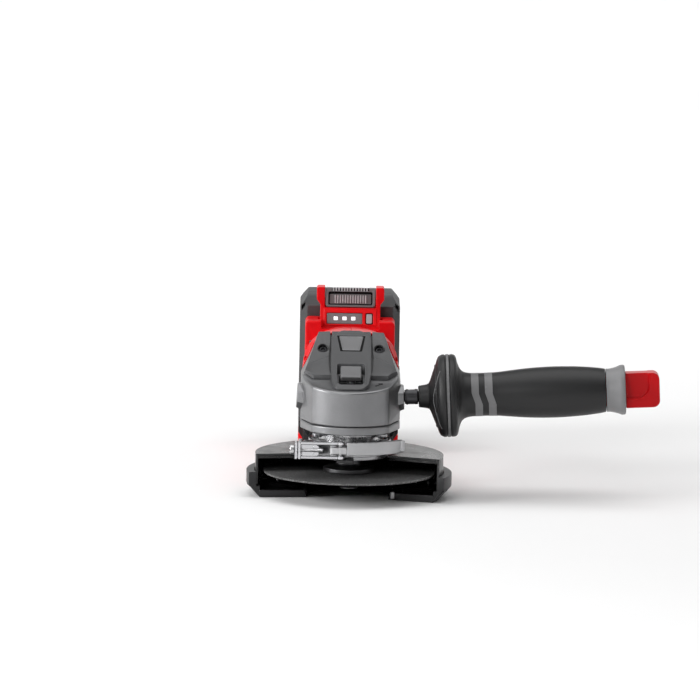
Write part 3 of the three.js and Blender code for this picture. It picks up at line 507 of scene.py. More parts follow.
def cast_paint():
    """Satin graphite paint on a sandy casting."""
    n = Nodes("cast_paint")
    colour = (0.25, 0.251, 0.258)
    sand = n.noise(1100, 3, 0.7)
    swell = n.noise(90, 3, 0.5)
    specks = n.ramp(n.noise(2600, 2, 0.8), [(0.62, 0.0), (0.7, 1.0)])
    base = n.mix(swell, shade(colour, 0.9), shade(colour, 1.1))
    base = n.mix(n.times(specks, 0.3), base, (0.5, 0.5, 0.52))
    base = n.mix(n.times(n.edge(), 0.35), base, (0.48, 0.48, 0.5))
    height = n.plus(sand, n.times(swell, 1.2))
    return n.set(Base_Color=base, Roughness=n.spread(sand, 0.32, 0.46), Metallic=0.88,
            Normal=n.bump(height, 0.5, 0.00006))


def powder_coat():
    """Black powder coat with slight orange peel and rubbed edges."""
    n = Nodes("powder_coat")
    peel = n.noise(520, 2, 0.5)
    dust = n.ramp(n.noise(45, 5, 0.7), [(0.4, 0.0), (0.8, 1.0)])
    base = n.mix(n.times(dust, 0.2), (0.02, 0.02, 0.021), (0.05, 0.05, 0.052))
    edge_lightening = n.times(n.edge(0.53, 0.62), n.ramp(n.noise(300, 5), [(0.45, 0.0), (0.6, 1.0)]))
    base = n.mix(n.times(edge_lightening, 0.6), base, (0.2, 0.2, 0.21))
    return n.set(Base_Color=base, Roughness=n.spread(dust, 0.26, 0.42), Normal=n.bump(peel, 0.45, 0.00008),
            Specular_IOR_Level=0.55)


def abrasive():
    """Bonded grit: sharp dark grains, a few of them painted pale as glints, a rim painted lighter as sparkle,
    and the weave of the glass cloth under it.
    """
    n = Nodes("abrasive_grit")
    grains = n.add("ShaderNodeTexVoronoi", {"Vector": n.place, "Scale": 1500}, feature="F1")
    cell = grains.outputs["Distance"]
    # the palest grains are painted glints
    tone = n.ramp(grains.outputs["Color"], [(0.0, 0.022), (0.6, 0.06), (0.93, 0.1), (0.985, 0.42)])
    cloth = n.math("MAXIMUM", *[n.wave(axis, 75, Distortion=0.6, Detail=1) for axis in ("X", "Y")])
    # the outer rim is painted lighter, with more pale grains, as painted sparkle
    glint_rim_range = {"Value": n.off_axis(), "From Min": 0.0603, "From Max": 0.0613}
    rim = n.add("ShaderNodeMapRange", glint_rim_range).outputs["Result"]
    base = n.mix(rim, tone, n.ramp(grains.outputs["Color"], [(0.0, 0.03), (0.6, 0.1), (1.0, 0.35)]))
    height = n.plus(cell, n.times(cloth, 0.25))
    return n.set(Base_Color=base, Roughness=n.spread(cell, 0.6, 0.95), Normal=n.bump(height, 0.8, 0.00025),
            Specular_IOR_Level=0.45)


def window():
    """Smoked display window with a faint haze."""
    n = Nodes("smoked_window")
    haze = n.noise(400, 4)
    return n.set(Base_Color=n.mix(haze, (0.16, 0.16, 0.165), (0.22, 0.22, 0.225)),
            Roughness=n.spread(haze, 0.14, 0.26), Coat_Weight=0.6, Coat_Roughness=0.05)


def lamp():
    """A white display segment behind its diffuser."""
    n = Nodes("display_segment")
    haze = n.noise(1500, 2)
    colour = n.mix(haze, (0.86, 0.88, 0.9), (1, 1, 1))
    return n.set(Base_Color=colour, Roughness=n.spread(haze, 0.3, 0.5), Emission_Color=(0.9, 0.95, 1.0),
            Emission_Strength=0.55)


def circuit():
    """Green solder resist with tracks."""
    n = Nodes("circuit_board")
    tracks = n.add("ShaderNodeTexBrick", {"Vector": n.place, "Scale": 260, "Mortar Size": 0.05}).outputs["Fac"]
    return n.set(Base_Color=n.mix(tracks, (0.015, 0.12, 0.04), (0.05, 0.3, 0.1)),
            Roughness=n.spread(n.noise(500), 0.3, 0.5), Normal=n.bump(tracks, 0.3, 0.00004))


def turned_metal(name, colour, rough=0.26):
    """Metal off the lathe: fine rings round the spindle axis and a thin film of oil."""
    n = Nodes(name)
    height = n.add("ShaderNodeSeparateXYZ", {0: n.place}).outputs["Z"]
    line = n.add("ShaderNodeCombineXYZ", {0: n.off_axis(), 1: height}).outputs[0]
    rings = n.noise(5200, 2, 0.6, vector=line)
    cloud = n.noise(120, 4)
    base = n.mix(rings, shade(colour, 0.8), shade(colour, 1.1))
    base = n.mix(n.times(n.edge(), 0.4), base, shade(colour, 1.3))
    return n.set(Base_Color=base, Metallic=1.0, Roughness=n.spread(cloud, rough - 0.08, rough + 0.1),
            Normal=n.bump(rings, 0.4, 0.00003))


def wound_copper():
    """Enamelled wire, in fine turns."""
    n = Nodes("wound_copper")
    turns = n.wave("Y", 420, Distortion=0.8)
    return n.set(Base_Color=n.mix(turns, (0.32, 0.1, 0.03), (0.78, 0.33, 0.13)),
            Roughness=n.spread(turns, 0.25, 0.45), Metallic=0.9, Normal=n.bump(turns, 0.7, 0.0002))


def laminated():
    """A stack of thin lacquered sheets across the motor axis."""
    n = Nodes("laminated_core")
    sheets = n.wave("Y", 320)
    return n.set(Base_Color=n.mix(sheets, (0.05, 0.05, 0.055), (0.22, 0.22, 0.23)),
            Roughness=n.spread(sheets, 0.35, 0.6), Metallic=0.85, Normal=n.bump(sheets, 0.5, 0.00008))


RED = (0.7, 0.002, 0.006)
MAT = {
    "cast": cast_paint(),
    "steel": metal("ground_steel", (0.56, 0.56, 0.57), 0.3),
    "dark_steel": metal("blackened_steel", (0.06, 0.06, 0.064), 0.36, metallic=0.85),
    "chrome": metal("plated_chrome", (0.58, 0.58, 0.6), 0.2, spots=0.05),
    "zinc": metal("zinc_sheet", (0.44, 0.44, 0.45), 0.34, brushed=(1, 1, 12)),
    "paint": powder_coat(),
    "grit": abrasive(),
    "cover": moulded("head_cover_grain", (0.062, 0.063, 0.066), 0.46, depth=0.00006, edge_lightening=1.9),
    # near-black for sheets laid in gaps and behind parts, as painted shade
    "pitch": moulded("painted_shade_black", (0.004, 0.004, 0.0042), 0.6, gloss=0.12, edge_lightening=1.5),
    "black": moulded("moulded_black", (0.018, 0.018, 0.019), 0.4, edge_lightening=2.4),
    "battery": moulded("battery_shell", (0.042, 0.043, 0.045), 0.52, grain=1300, depth=0.00007, edge_lightening=2.0),
    "grey": moulded("moulded_grey", (0.1, 0.1, 0.103), 0.48),
    "red": moulded("moulded_red", RED, 0.38, grain=2400, depth=0.00002, gloss=0.16, edge_lightening=1.15, coat=0.06),
    "key_red": moulded("key_red", shade(RED, 0.75), 0.34, grain=2400, depth=0.00002,
            gloss=0.16, edge_lightening=1.3, coat=0.06),
    "rubber": moulded("grip_rubber", (0.0105, 0.0105, 0.0112), 0.48, grain=1500, depth=0.00009,
            gloss=0.45, edge_lightening=2.2),
    "turned": turned_metal("turned_neck", (0.62, 0.62, 0.63)),
    "flange": turned_metal("turned_flange", (0.16, 0.16, 0.165), 0.34),
    "badge": metal("brushed_badge", (0.24, 0.24, 0.246), 0.42, brushed=(20, 1, 1), spots=0.05),
    "black_screw": metal("black_screw", (0.02, 0.02, 0.021), 0.34, metallic=0.6, spots=0.03),
    "button": moulded("button_grey", (0.15, 0.15, 0.154), 0.44),
    "screw": metal("screw_steel", (0.36, 0.36, 0.37), 0.27),
    "cover_black": moulded("cover_black", (0.016, 0.016, 0.017), 0.42, edge_lightening=2.6),
    "lever": metal("lever_zinc", (0.5, 0.5, 0.51), 0.38, brushed=(1, 1, 8), spots=0.06),
    "band": moulded("band_grey", (0.18, 0.18, 0.184), 0.5),
    "band_dark": moulded("band_dark", (0.12, 0.12, 0.123), 0.46),
    "collar": moulded("collar_grey", (0.2, 0.2, 0.205), 0.42),
    "bezel": moulded("bezel_grey", (0.15, 0.15, 0.154), 0.44),
    "latch": moulded("latch_pale_grey", (0.37, 0.37, 0.38), 0.42),
    "window": window(),
    "lamp": lamp(),
    "board": circuit(),
    "copper": wound_copper(),
    "core": laminated(),
    "cell": moulded("cell_wrap", (0.1, 0.2, 0.3), 0.35),
}


# ------------------------------------------------------------------ gear head

METAL_TOP = [(44, 92), (-7, 68.8), (-36, 63.4), (-40, 62.6)]
CORNERS = [(1, 1), (-1, 1), (-1, -1), (1, -1)]
SCREW_X, SCREW_Y = 23.5, 19.5  # the four screws under the gear housing
LOCK_Y = -10.5  # the spindle lock's pin
COVER_SCREW = (20.6, 24.4)
# the frame of the side handle, whose z runs out of the boss
HANDLE = Matrix.Translation((39.146, 6, 55)) @ Matrix.Rotation(rad(87), 4, "Y")


def head_plan(inset=0, rear=44):
    half = 36.3 - inset
    right = arc(36 - inset, -90, -38, 30)[1:] + [(half, 2), (half, rear - inset)]
    return [(0, -36 + inset)] + right + [(-x, y) for x, y in reversed(right)]


def head_front(grow=0):
    return both([(38 + grow, 20), (38 + grow, 66), (34.6 + grow, 72), (31.2 + grow, 79), (23.2 + grow, 98)])


def metal_top(y):
    return 68.8 + (0.187 if y < -7 else 0.455) * (y + 7)


def nose_top(y):
    return 79.4 + 0.405 * y


def above(surface, *points):
    """Points of a side view, from their y and their height above a surface."""
    return [(y, surface(y) + rise) for y, rise in points]


def star(radius, z0, z1, x=0, y=0):
    """The six-lobed recess of a screw head."""
    points = [polar(radius if i % 2 else radius * 0.72, 30 * i) for i in range(12)]
    return at(prism_z(rounded(points, 0.3, 3), z0, z1), x, y)


def handle_ends(me):
    """A shape in the handle's frame, and its mirror image on the other side."""
    right = moved(me, HANDLE)
    return [right, mirrored(right)]


def gear_housing():
    shell = common(prism_z(head_plan(), 20, 98), prism_x([(-40, 31.7), (44, 31.7)] + METAL_TOP, -45, 45),
            prism_y(head_front(-0.5), -45, 60))
    shell = softened(cut(shell, block(-45, 45, -45, 32, 20, 38)), 1.5, 4, 22)
    boss = at(turned([(0, -14), (10.8, -14), (10.5, -3.4), (9.2, 0), (0, 0)], 8), turn=22.5)
    tools = [rod(24.5, 20, 59), rod(7.5, 50, 64.8), rod_y(11.3, 11, 50, 0, 58), rod_y(16, 36.3, 50, 0, 58),
            prism_z(panel(-8.4, 8.4, -19, -1, 1.6), 66, 80), rod(2.5, 50, 70, 0, LOCK_Y)]
    tools += [rod(2.35, 20, 49, i * SCREW_X, j * SCREW_Y, 32) for i, j in CORNERS]
    tools += [rod(1.9, 70, 98, s * COVER_SCREW[0], COVER_SCREW[1], 32) for s in (1, -1)]
    bores = handle_ends(turned([(0, -12.5), (4.3, -12.5), (4.3, -0.7), (5.1, 4), (0, 4)], 48))
    me = cut(join(shell, *handle_ends(boss)), *tools, *bores)
    piece("gear_housing_casting", me, "machine", "cast", ("gear_housing",), "cast_metal",
            bevel=0.45, segments=3)


def turning_arrow():
    """A small raised arrow beside the button, for the wheel's sense of rotation."""
    face = prism_x(above(metal_top, (-30, -0.4), (-8, -0.4), (-8, 0.3), (-30, 0.3)), 0, 40)
    bow = arc(27.3, -48, -36, 10) + arc(26.4, -36, -48, 10)
    tip = [polar(28.8, -36.4), polar(24.9, -36.4), polar(27, -30.5)]
    slabs = [common(prism_z(points, 50, 90), face) for points in (bow, tip)]
    piece("turning_arrow", merged(*slabs), "machine", "dark_steel", bevel=0)


def bearing_flange():
    plate = softened(prism_z(head_plan(0, 31.6), 31.7, 37.7), 1.1, 4, 60)
    spots = [rod(4.6, 31, 32.3, i * SCREW_X, j * SCREW_Y) for i, j in CORNERS]
    holes = [rod(2.35, 30, 40, i * SCREW_X, j * SCREW_Y, 32) for i, j in CORNERS]
    seat = ring(16.4, 20, 37.2, 43.6)
    me = cut(join(plate, seat), rod(16.4, 33, 50), rod(24, 30, 33), *spots, *holes)
    piece("bearing_flange_plate", me, "machine", "cast", ("bearing_flange",), "cast_metal", bevel=0.3)
    neck = [(10, 12.8), (25.2, 12.8), (26, 13.6), (26, 25.6), (25, 26.2), (25, 28.4), (25.8, 29), (25.8, 30.4),
            (24.6, 31), (24.6, 34), (10, 34)]
    piece("bearing_flange_neck", turned(neck, 144), "machine", "turned", slot="cast_metal", bevel=0.15)
    for k, (i, j) in enumerate(CORNERS):
        head = turned([(0, 31.35), (3.7, 31.35), (3.7, 29.4), (3.3, 28.5), (2.4, 28.05), (0, 28)], 48)
        me = join(at(head, i * SCREW_X, j * SCREW_Y), rod(2, 31, 48, i * SCREW_X, j * SCREW_Y, 24))
        me = cut(me, star(2.1, 27, 30, i * SCREW_X, j * SCREW_Y))
        piece(f"flange_screw_head_{k + 1}", me, "machine", "screw",
                (f"flange_screw_{k + 1}",), "steel", bevel=0.12)


def wing_ring(x):
    """A lengthwise section of the cover's wings: a low facet, a crease, and a higher facet behind it."""
    out = max(0.0, abs(x) - 14.6)
    crease, height = 17.5 - 0.5 * out, 83.4 - 0.26 * out - 0.004 * out * out
    low = [(y, metal_top(y) + 0.3) for y in (44, 30, 16, 5, -7)]
    high = [(-7, 72.2), (-4.8, 73.6), (crease - 1.3, height - 0.8), (crease - 0.5, height + 0.15),
            (crease + 0.4, height + 0.3), (44, 97.2 - 0.05 * out)]
    return [(x, y, z) for y, z in low + high]


def head_cover():
    rings = [wing_ring(-40 + 80 * i / 64) for i in range(65)]
    corners = both([(26, -8), (38, 3.5), (38, 60)])
    wings = common(skin(rings), prism_z(head_plan(0.2), 50, 110), prism_z(corners, 50, 110),
            prism_y(head_front(), -50, 60))
    wings = softened(softened(wings, 1.3, 1, 48), 0.22, 2, 24)
    side = above(metal_top, (-31, 0.3), (-7, 0.3), (44, 0.3))
    side += above(nose_top, (44, -1.3), (43, -0.1), (39.5, 0), (-28, 0)) + [(-31, 65.6)]
    front = both([(14.6, 50), (14.6, 93.4), (12.2, 95.2), (6.5, 97.2)])
    plan = [(-12.4, -31), (12.4, -31), (14.6, -12), (14.6, 50), (-14.6, 50), (-14.6, -12)]
    plan = rounded(plan, [7.5, 7.5, 20, 0, 0, 20], 12)
    nose = common(prism_x(side, -14.6, 14.6), prism_y(front, -40, 50), prism_z(plan, 50, 110))
    nose = softened(nose, 1.9, 4, 28)
    side = above(nose_top, (37.5, -3), (43.6, -3), (43.6, 0.3), (42.6, 1.5), (39.6, 1.3), (37.5, -0.3))
    front = both([(13.8, 80), (13.8, 93.8), (11.8, 95.6), (7.5, 97.7), (3, 98.7)])
    crest = common(prism_x(side, -13.8, 13.8), prism_y(front, 30, 50))
    crest = softened(crest, 0.6, 3, 20)
    recess = prism_z(panel(-10.2, 10.2, -28, 0, [4.5, 4.5, 2.2, 2.2], 8), 50, 90)
    shelf = common(prism_z(panel(-10.6, 10.6, -28.4, -19.6, [4.5, 4.5, 0, 0], 8), 64.8, 67.6),
            prism_x(above(metal_top, (-29, 0.3), (-19, 0.3)) + [(-19, 69), (-29, 67)], -12, 12))
    rim_out = prism_z(panel(-11.2, 11.2, -29, 1, [5, 5, 3, 3], 8), 60, 90)
    rim_side = above(nose_top, (-30, -1), (2, -1), (2, 0.35), (-26.5, 0.35), (-29.4, -0.4))
    rim = common(cut(rim_out, recess), prism_x(rim_side, -14, 14))
    wells = [at_screw(rod(4.25, -5, 30), s) for s in (1, -1)]
    valleys = pair(prism_z, [(14.2, 44), (15.4, 44), (15.6, 30), (16.4, 15), (16.2, 4), (15.4, -5), (14.2, -5)],
            60, 110)
    floor = prism_x(above(metal_top, (-7, 1.1), (16, 0.9)) + [(30, 86.8), (44, 94.4), (44, 120), (-7, 120)],
            -30, 30)
    me = join(cut(wings, *[common(v, floor) for v in valleys]), nose)
    me = cut(me, recess, keystone(1.55, -1.35, 5), *wells)
    me = join(me, shelf, rim, crest)
    piece("head_cover_moulding", me, "machine", "cover", ("head_cover",), "black_plastic", bevel=0, sharp=38)
    # a near-black sheet in the gap round the badge, as painted shade of its pocket
    gap_shade = cut(keystone(1.5, -1.3, 0.06), keystone(0.05, -3, 3))
    piece("badge_gap_shade", gap_shade, "machine", "pitch", bevel=0.1)
    badge = cut(softened(keystone(0, -0.9, 0.1), 0.35, 3), keystone(-1.1, -0.12, 2))
    piece("badge_plate_metal", badge, "machine", "badge", ("badge_plate",), "badge", bevel=0.1)
    for s, side in ((1, "left"), (-1, "right")):
        head = cut(turned([(0, -4.6), (2.9, -4.6), (2.9, -1.7), (2.4, -1.1), (0, -0.9)], 48),
                star(1.9, -2.6, 1))
        # a darker sleeve lining each screw well, with a low lip, coloured as painted shade of the well
        sleeve = turned([(3.1, -4.9), (4.2, -4.9), (4.2, 0.5), (3.9, 0.8), (3.4, 0.6), (3.1, 0)], 64)
        piece(f"cover_screw_well_shade_{side}", at_screw(sleeve, s), "machine", "black", bevel=0.2)
        piece(f"cover_screw_{side}", at_screw(head, s), "machine", "dark_steel", (f"head_cover_screw_{side}",),
                "dark_steel", bevel=0.15)


def at_screw(me, s):
    """Puts a shape on the leaning axis of a cover screw, with z = 0 at the wing's face."""
    return at(me, s * COVER_SCREW[0], COVER_SCREW[1], 86.9, 50, "X")


def keystone(grow, low, high):
    """The badge's outline, grown sideways, between two heights above the nose."""
    plan = rounded([(-6.4 - grow, 18.6 - grow), (6.4 + grow, 18.6 - grow), (9 + grow, 37.6 + grow),
            (-9 - grow, 37.6 + grow)], 1.1, 5)
    side = above(nose_top, (16.6, low), (39.6, low), (39.6, high), (16.6, high))
    return common(prism_z(plan, 60, 110), prism_x(side, -20, 20))


def lock_button():
    side = [(-18, 69.5), (-1.8, 69.5)] + above(nose_top, (-1.8, -0.2), (-9, -0.3)) + [(-16.4, 73.3),
            (-17.6, 72.4), (-18, 71)]
    me = softened(prism_x(side, -7.6, 7.6), 0.9, 4, 25)
    me = cut(me, rod(4.1, 60, 72.2, 0, LOCK_Y), rod(2.45, 60, 73.4, 0, LOCK_Y, 32))
    piece("lock_button_cap", me, "lock", "button", ("lock_button",), "grey_plastic", bevel=0.15)
    # the steep front of the button is a black sheet, as painted shade
    face = softened(block(-7, 7, -18.5, -17.9, 69.8, 72.3), 0.25, 2)
    piece("lock_button_front_shade", face, "lock", "black", slot="black_plastic", bevel=0)
    step = 0.2618  # radians, for a wire of four turns in 96 steps
    wire = [(3.3 * math.cos(step * i), LOCK_Y + 3.3 * math.sin(step * i), 66.8 + 4.6 * i / 96)
            for i in range(97)]
    spring = piece("lock_spring_coil", tube(wire, 0.35), "machine", "steel", ("lock_spring",), "steel", bevel=0)
    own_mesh(spring)


# ------------------------------------------------------------------ spindle, wheel and flanges


def spindle_parts():
    profile = [(0, -12.5), (5.8, -12.5)] + thread(12, -12, 2, (6.3, 0), (6.9, 0.7), (6.9, 1.1))
    profile += [(6.3, 12), (7, 12.6), (7, 13.1), (9, 13.1), (9, 31.5), (7.5, 31.5), (7.5, 44), (6, 44), (6, 57),
            (5, 57), (5, 64.4), (0, 64.4)]
    me = cut(turned(profile, 72), turned([(0, -14), (2.2, -14), (2.2, -12.2), (0, -9.8)], 32))
    piece("spindle_shaft", me, "output_spindle", "steel", ("spindle",), "steel", bevel=0.1)
    seat = [(7.3, -0.6), (10.8, -0.6), (10.8, 1.1), (19, 1.1), (19, 3.6), (18.4, 4.2), (13, 5), (10.8, 5.8),
            (10, 7), (10, 12.8), (7.3, 12.8)]
    me = cut(turned(seat, 128), *[beside(s, 8, 12, -5.5, 5.5, 9.4, 13) for s in (1, -1)])
    piece("inner_flange_body", me, "output_spindle", "flange", ("inner_flange",), "chrome", bevel=0.25)
    disc = [(11.1, -0.6), (62.1, -0.6), (62.5, -0.3), (62.5, 0.3), (62.1, 0.6), (11.1, 0.6)]
    piece("cutting_wheel_disc", turned(disc, 192), "output_spindle", "grit",
            ("cutting_wheel",), "abrasive", bevel=0)
    piece("wheel_bush", ring(11.12, 13.4, -0.72, 0.72, 96), "output_spindle", "zinc", bevel=0.1)
    nut = turned([(7.3, -9.4), (12.6, -9.4), (13.4, -8.9), (17, -7.4), (19.6, -6.4), (20, -5.9), (20, -2.6),
            (19.3, -1.3), (18.6, -1.1), (7.3, -1.1)], 128)
    knurl = merged(*[rod(0.75, -12, 0, *polar(20.35, 10 * i), 12) for i in range(36)])
    pins = [rod(2.5, -12, -5, s * 15, 0, 40) for s in (1, -1)]
    piece("clamping_nut_body", cut(nut, knurl, *pins), "output_spindle", "dark_steel", ("clamping_nut",),
            "dark_steel", bevel=0.2)


gear_housing()
turning_arrow()
bearing_flange()
head_cover()
lock_button()
spindle_parts()


# ------------------------------------------------------------------ motor housing, grips and foot

SECTIONS = [  # of the housing: station y, half width, half height, middle height
    (44.3, 35.2, 34, 63.3), (60, 35.4, 34, 63), (84, 34.2, 32.6, 61), (108, 31.6, 30.4, 59),
    (126, 28.2, 27.8, 56.8), (150, 26.6, 26.8, 55.2), (176, 27.4, 26.2, 53), (202, 31, 26, 52.6),
]
FRONT_Y, REAR_Y = 44.3, 202
SQUARENESS = 2.7  # exponent of the sections' superellipse
POWER = 0.7407  # 2 / SQUARENESS


def section(y):
    """Half width, half height and middle height of the housing at a station, on a smooth curve."""
    stations = np.array(SECTIONS)
    ys, values = stations[:, 0], stations[:, 1:]
    slope = np.gradient(values, ys, axis=0)
    i = int(np.clip(np.searchsorted(ys, y) - 1, 0, len(ys) - 2))
    h = ys[i + 1] - ys[i]
    t = (y - ys[i]) / h
    return hermite(t, h, values[i], values[i + 1], slope[i], slope[i + 1])


def housing_body(offset, y0, y1, step=4.0):
    """The housing's outer form between two stations, moved outwards by an offset."""
    rings = []
    for y in np.linspace(y0, y1, max(2, int((y1 - y0) / step) + 1)):
        a, b, c = section(min(max(y, FRONT_Y), REAR_Y))
        rings.append([(math.copysign(abs(u) ** POWER, u) * (a + offset), float(y),
                c + math.copysign(abs(v) ** POWER, v) * (b + offset)) for u, v in circle(80)])
    return skin(rings)


def groove(y, width, step, proud, depth, ends):
    """A ring round the housing to cut a groove with."""
    return cut(housing_body(proud, y, y + width, step), housing_body(depth, y - 1, y + ends, 1))


def side_slots(side, y0, y1, z0, pitch, height, count, inner):
    """A column of vent slots through one side of the housing."""
    out = []
    for i in range(count):
        z = z0 + i * pitch
        shape = panel(y0, y1, z, z + height, height * 0.42)
        out.append(prism_x(shape, inner, 50) if side > 0 else prism_x(shape, -50, -inner))
    return out


def shoulders():
    """Facets that carry the outline of the head cover into the round housing."""
    rings = []
    for y, grow in ((40, 0.3), (48, 0.3), (84, 9), (300, 9)):
        corners = [(60, -40), (60, 58), (38 + grow, 66), (34.6 + grow, 72), (31.2 + grow, 79),
                (23.2 + grow, 98), (18 + grow, 120)]
        rings.append([(x, y, z) for x, z in both(corners)])
    return skin(rings)


def housing_whole():
    front = common(housing_body(0, 40, 46), block(-50, 50, 44.3, 46, 0, 120))
    face = both([(28.6, -17.6), (33.6, -12.6), (33.6, 81.4), (31.6, 83.4)])
    base = both([(30.6, -17.6), (37.6, -10.6), (37.6, -3.3)])
    tower = softened(prism_y(face, 196, 222), 2.2, 4, 30)
    shelf = softened(prism_y(base, 204, 246), 1.6, 4, 30)
    foot = cut(join(tower, shelf), block(-21.6, 21.6, 195, 223, 77, 90))
    outer = join(common(join(housing_body(0, 44.3, 200), front), shoulders()), foot)
    walls = [cut(housing_body(-2.5, 117.7, 124.3), rod_y(9.8, 100, 130, 0, 58)),
            cut(housing_body(-2.5, 78, 81), rod_y(26.3, 70, 90, 0, 58))]
    rail = join(block(-24.3, 24.3, 205.6, 214.2, -13, 130), block(-20.6, 20.6, 214, 230, -13, 130))
    shell = join(cut(outer, housing_body(-2.8, 40, 194)), *walls)
    # panel lines behind the front rim and at both ends of the grip
    grooves = [groove(y, 0.9, 0.5, 2, -0.7, 2) for y in (57.2, 121.4, 180.3)]
    return cut(shell, rail, block(-60, 60, 222.7, 300, -3, 130), rod_y(5, 190, 210, 0, 40), *grooves)


def screw_at(x, y, z, side):
    """A recessed screw on the parting side of the housing: its well, and its head."""
    head = turned([(0, -2.3), (2.9, -2.3), (2.9, -0.9), (2.4, -0.4), (0, -0.3)], 40)
    head = cut(head, star(1.7, -1.5, 1))
    return [at(me, x, y, z, 90 * side, "Y") for me in (rod(3.3, -2.4, 14, sides=40), head)]


def housing():
    whole = housing_whole()
    for side, name in ((1, "left"), (-1, "right")):
        half_space = beside(side, 0.1, 80, 0, 300, -50, 150)
        half = common(whole, half_space)
        tools = side_slots(side, 47.5, 54.5, 44, 7.5, 3.4, 5, 20) + side_slots(side, 180,
                190, 38, 7, 3.4, 5, 15)
        if side > 0:
            tools += [block(33.8, 50, 57, 87.5, 54.5, 69.5), block(20, 50, 61, 84, 59, 65),
                    block(26.2, 29.2, 66, 116, 59, 65)]
        else:
            spots = []
            for y, z in ((66, 84), (66, 40), (112, 76), (112, 40)):
                a, b, c = section(y)
                spots.append((-(a * (1 - (abs(z - c) / b) ** SQUARENESS) ** (1 / SQUARENESS)), y, z))
            screws = [screw_at(*spot, -1) for spot in spots + [(-33.6, 210, -6), (-33.6, 210, 74)]]
            tools += [well for well, _ in screws]
        piece(f"housing_shell_{name}", cut(half, *tools), "machine", "red", (f"housing_{name}",),
                "red_plastic", bevel=0.35)
        if side < 0:
            piece("housing_screws", merged(*[head for _, head in screws]), "machine", "black_screw", bevel=0.1)
        sleeve = cut(housing_body(1.7, 124, 178, 2), housing_body(0.3, 120, 182, 4))
        ridges = [groove(y, 1.3, 0.6, 3, 0.85, 3) for y in np.arange(129, 174, 4.1)]
        band = beside(side, 14, 60, 120, 182, 38, 74)
        half = common(sleeve, half_space)
        half = softened(cut(half, block(-12, 12, 120, 182, 66, 110)), 0.8, 3, 60)
        half = cut(half, *[common(r, band) for r in ridges])
        piece(f"soft_grip_{name}_cover", half, "machine", "rubber", (f"soft_grip_{name}",), "rubber", bevel=0.2)
    collar = cut(housing_body(0.3, 44.3, 46.6, 1), housing_body(-2, 40, 50, 1), block(-50, 50, 40, 60, 50, 110))
    lobe = prism_y([(28, 47), (35.1, 47), (35.6, 27), (31.6, 19.4), (29.8, 19.4), (27.5, 30)], 44.3, 52)
    lobe = softened(lobe, 0.7, 3, 30)
    trims = [cut(t, housing_body(0.1, 46, 60, 1)) for t in (lobe, mirrored(lobe))]
    piece("housing_front_seal", merged(collar, *trims), "machine", "rubber", slot="rubber", bevel=0.2)
    screens = []
    for y0, y1 in ((46.5, 56), (178, 192)):
        screen = cut(housing_body(-3.0, y0, y1), housing_body(-3.5, y0 - 1, y1 + 1))
        screens.append(cut(screen, block(-20, 20, 40, 200, 0, 100)))
    piece("vent_screens", merged(*screens), "machine", "black", bevel=0)
    guards = pair(prism_y, [(33.5, 6), (37.5, 6), (37.5, -2.0), (33.5, -8.4)], 203.6, 222.4)
    guards = [softened(g, 0.5, 3, 30) for g in guards]
    bumper = softened(block(-33.9, 33.9, 195.4, 197, -15, 9), 0.5, 3)
    piece("foot_bumpers", merged(*guards, bumper), "machine", "rubber", bevel=0)
    pads = [softened(block(s * 24 - 6, s * 24 + 6, 212, 240, -17.6, -16.4), 0.5, 3) for s in (1, -1)]
    piece("foot_pads", merged(*pads), "machine", "rubber", slot="rubber", bevel=0.1)


def switch_slider():
    pad = softened(prism_x(panel(66, 86, 55.5, 68.5, 3, 6), 34.2, 35.5), 0.4, 3)
    ribs = [softened(block(35.2, 36.2, 69 + i * 3.6, 70.7 + i * 3.6, 57, 67), 0.35, 3) for i in range(4)]
    me = join(pad, block(27, 35, 69.4, 82.6, 59.5, 64.5), block(26.8, 28.4, 69.4, 112, 59.8, 64.2), *ribs)
    piece("switch_slider_pad", me, "power_switch", "black", ("switch_slider",), "black_plastic", bevel=0.12)


# ------------------------------------------------------------------ battery pack


def pack_case(y0, y1):
    front = both([(32.6, -2.7), (37.6, 2.3), (37.6, 89.8), (31.3, 98)])
    side = [(223, -2.7), (278, -2.7), (284, 3.3), (284, 90), (276, 98), (237, 96.4), (223, 91)]
    plan = both([(32.2, 222.9), (37.7, 229.6), (37.7, 278.4), (32.6, 284.1)])
    return common(prism_y(front, 200, 300), prism_x(side, -50, 50), prism_z(plan, -20, 120),
            block(-50, 50, y0, y1, -20, 120))


def fluting(s, y0):
    """Five upright grooves in one side of the pack."""
    side = s * 37.9
    return [block(side - 1.0, side + 1.0, y0 + i * 4.4, y0 + 2 + i * 4.4, 12, 82) for i in range(5)]


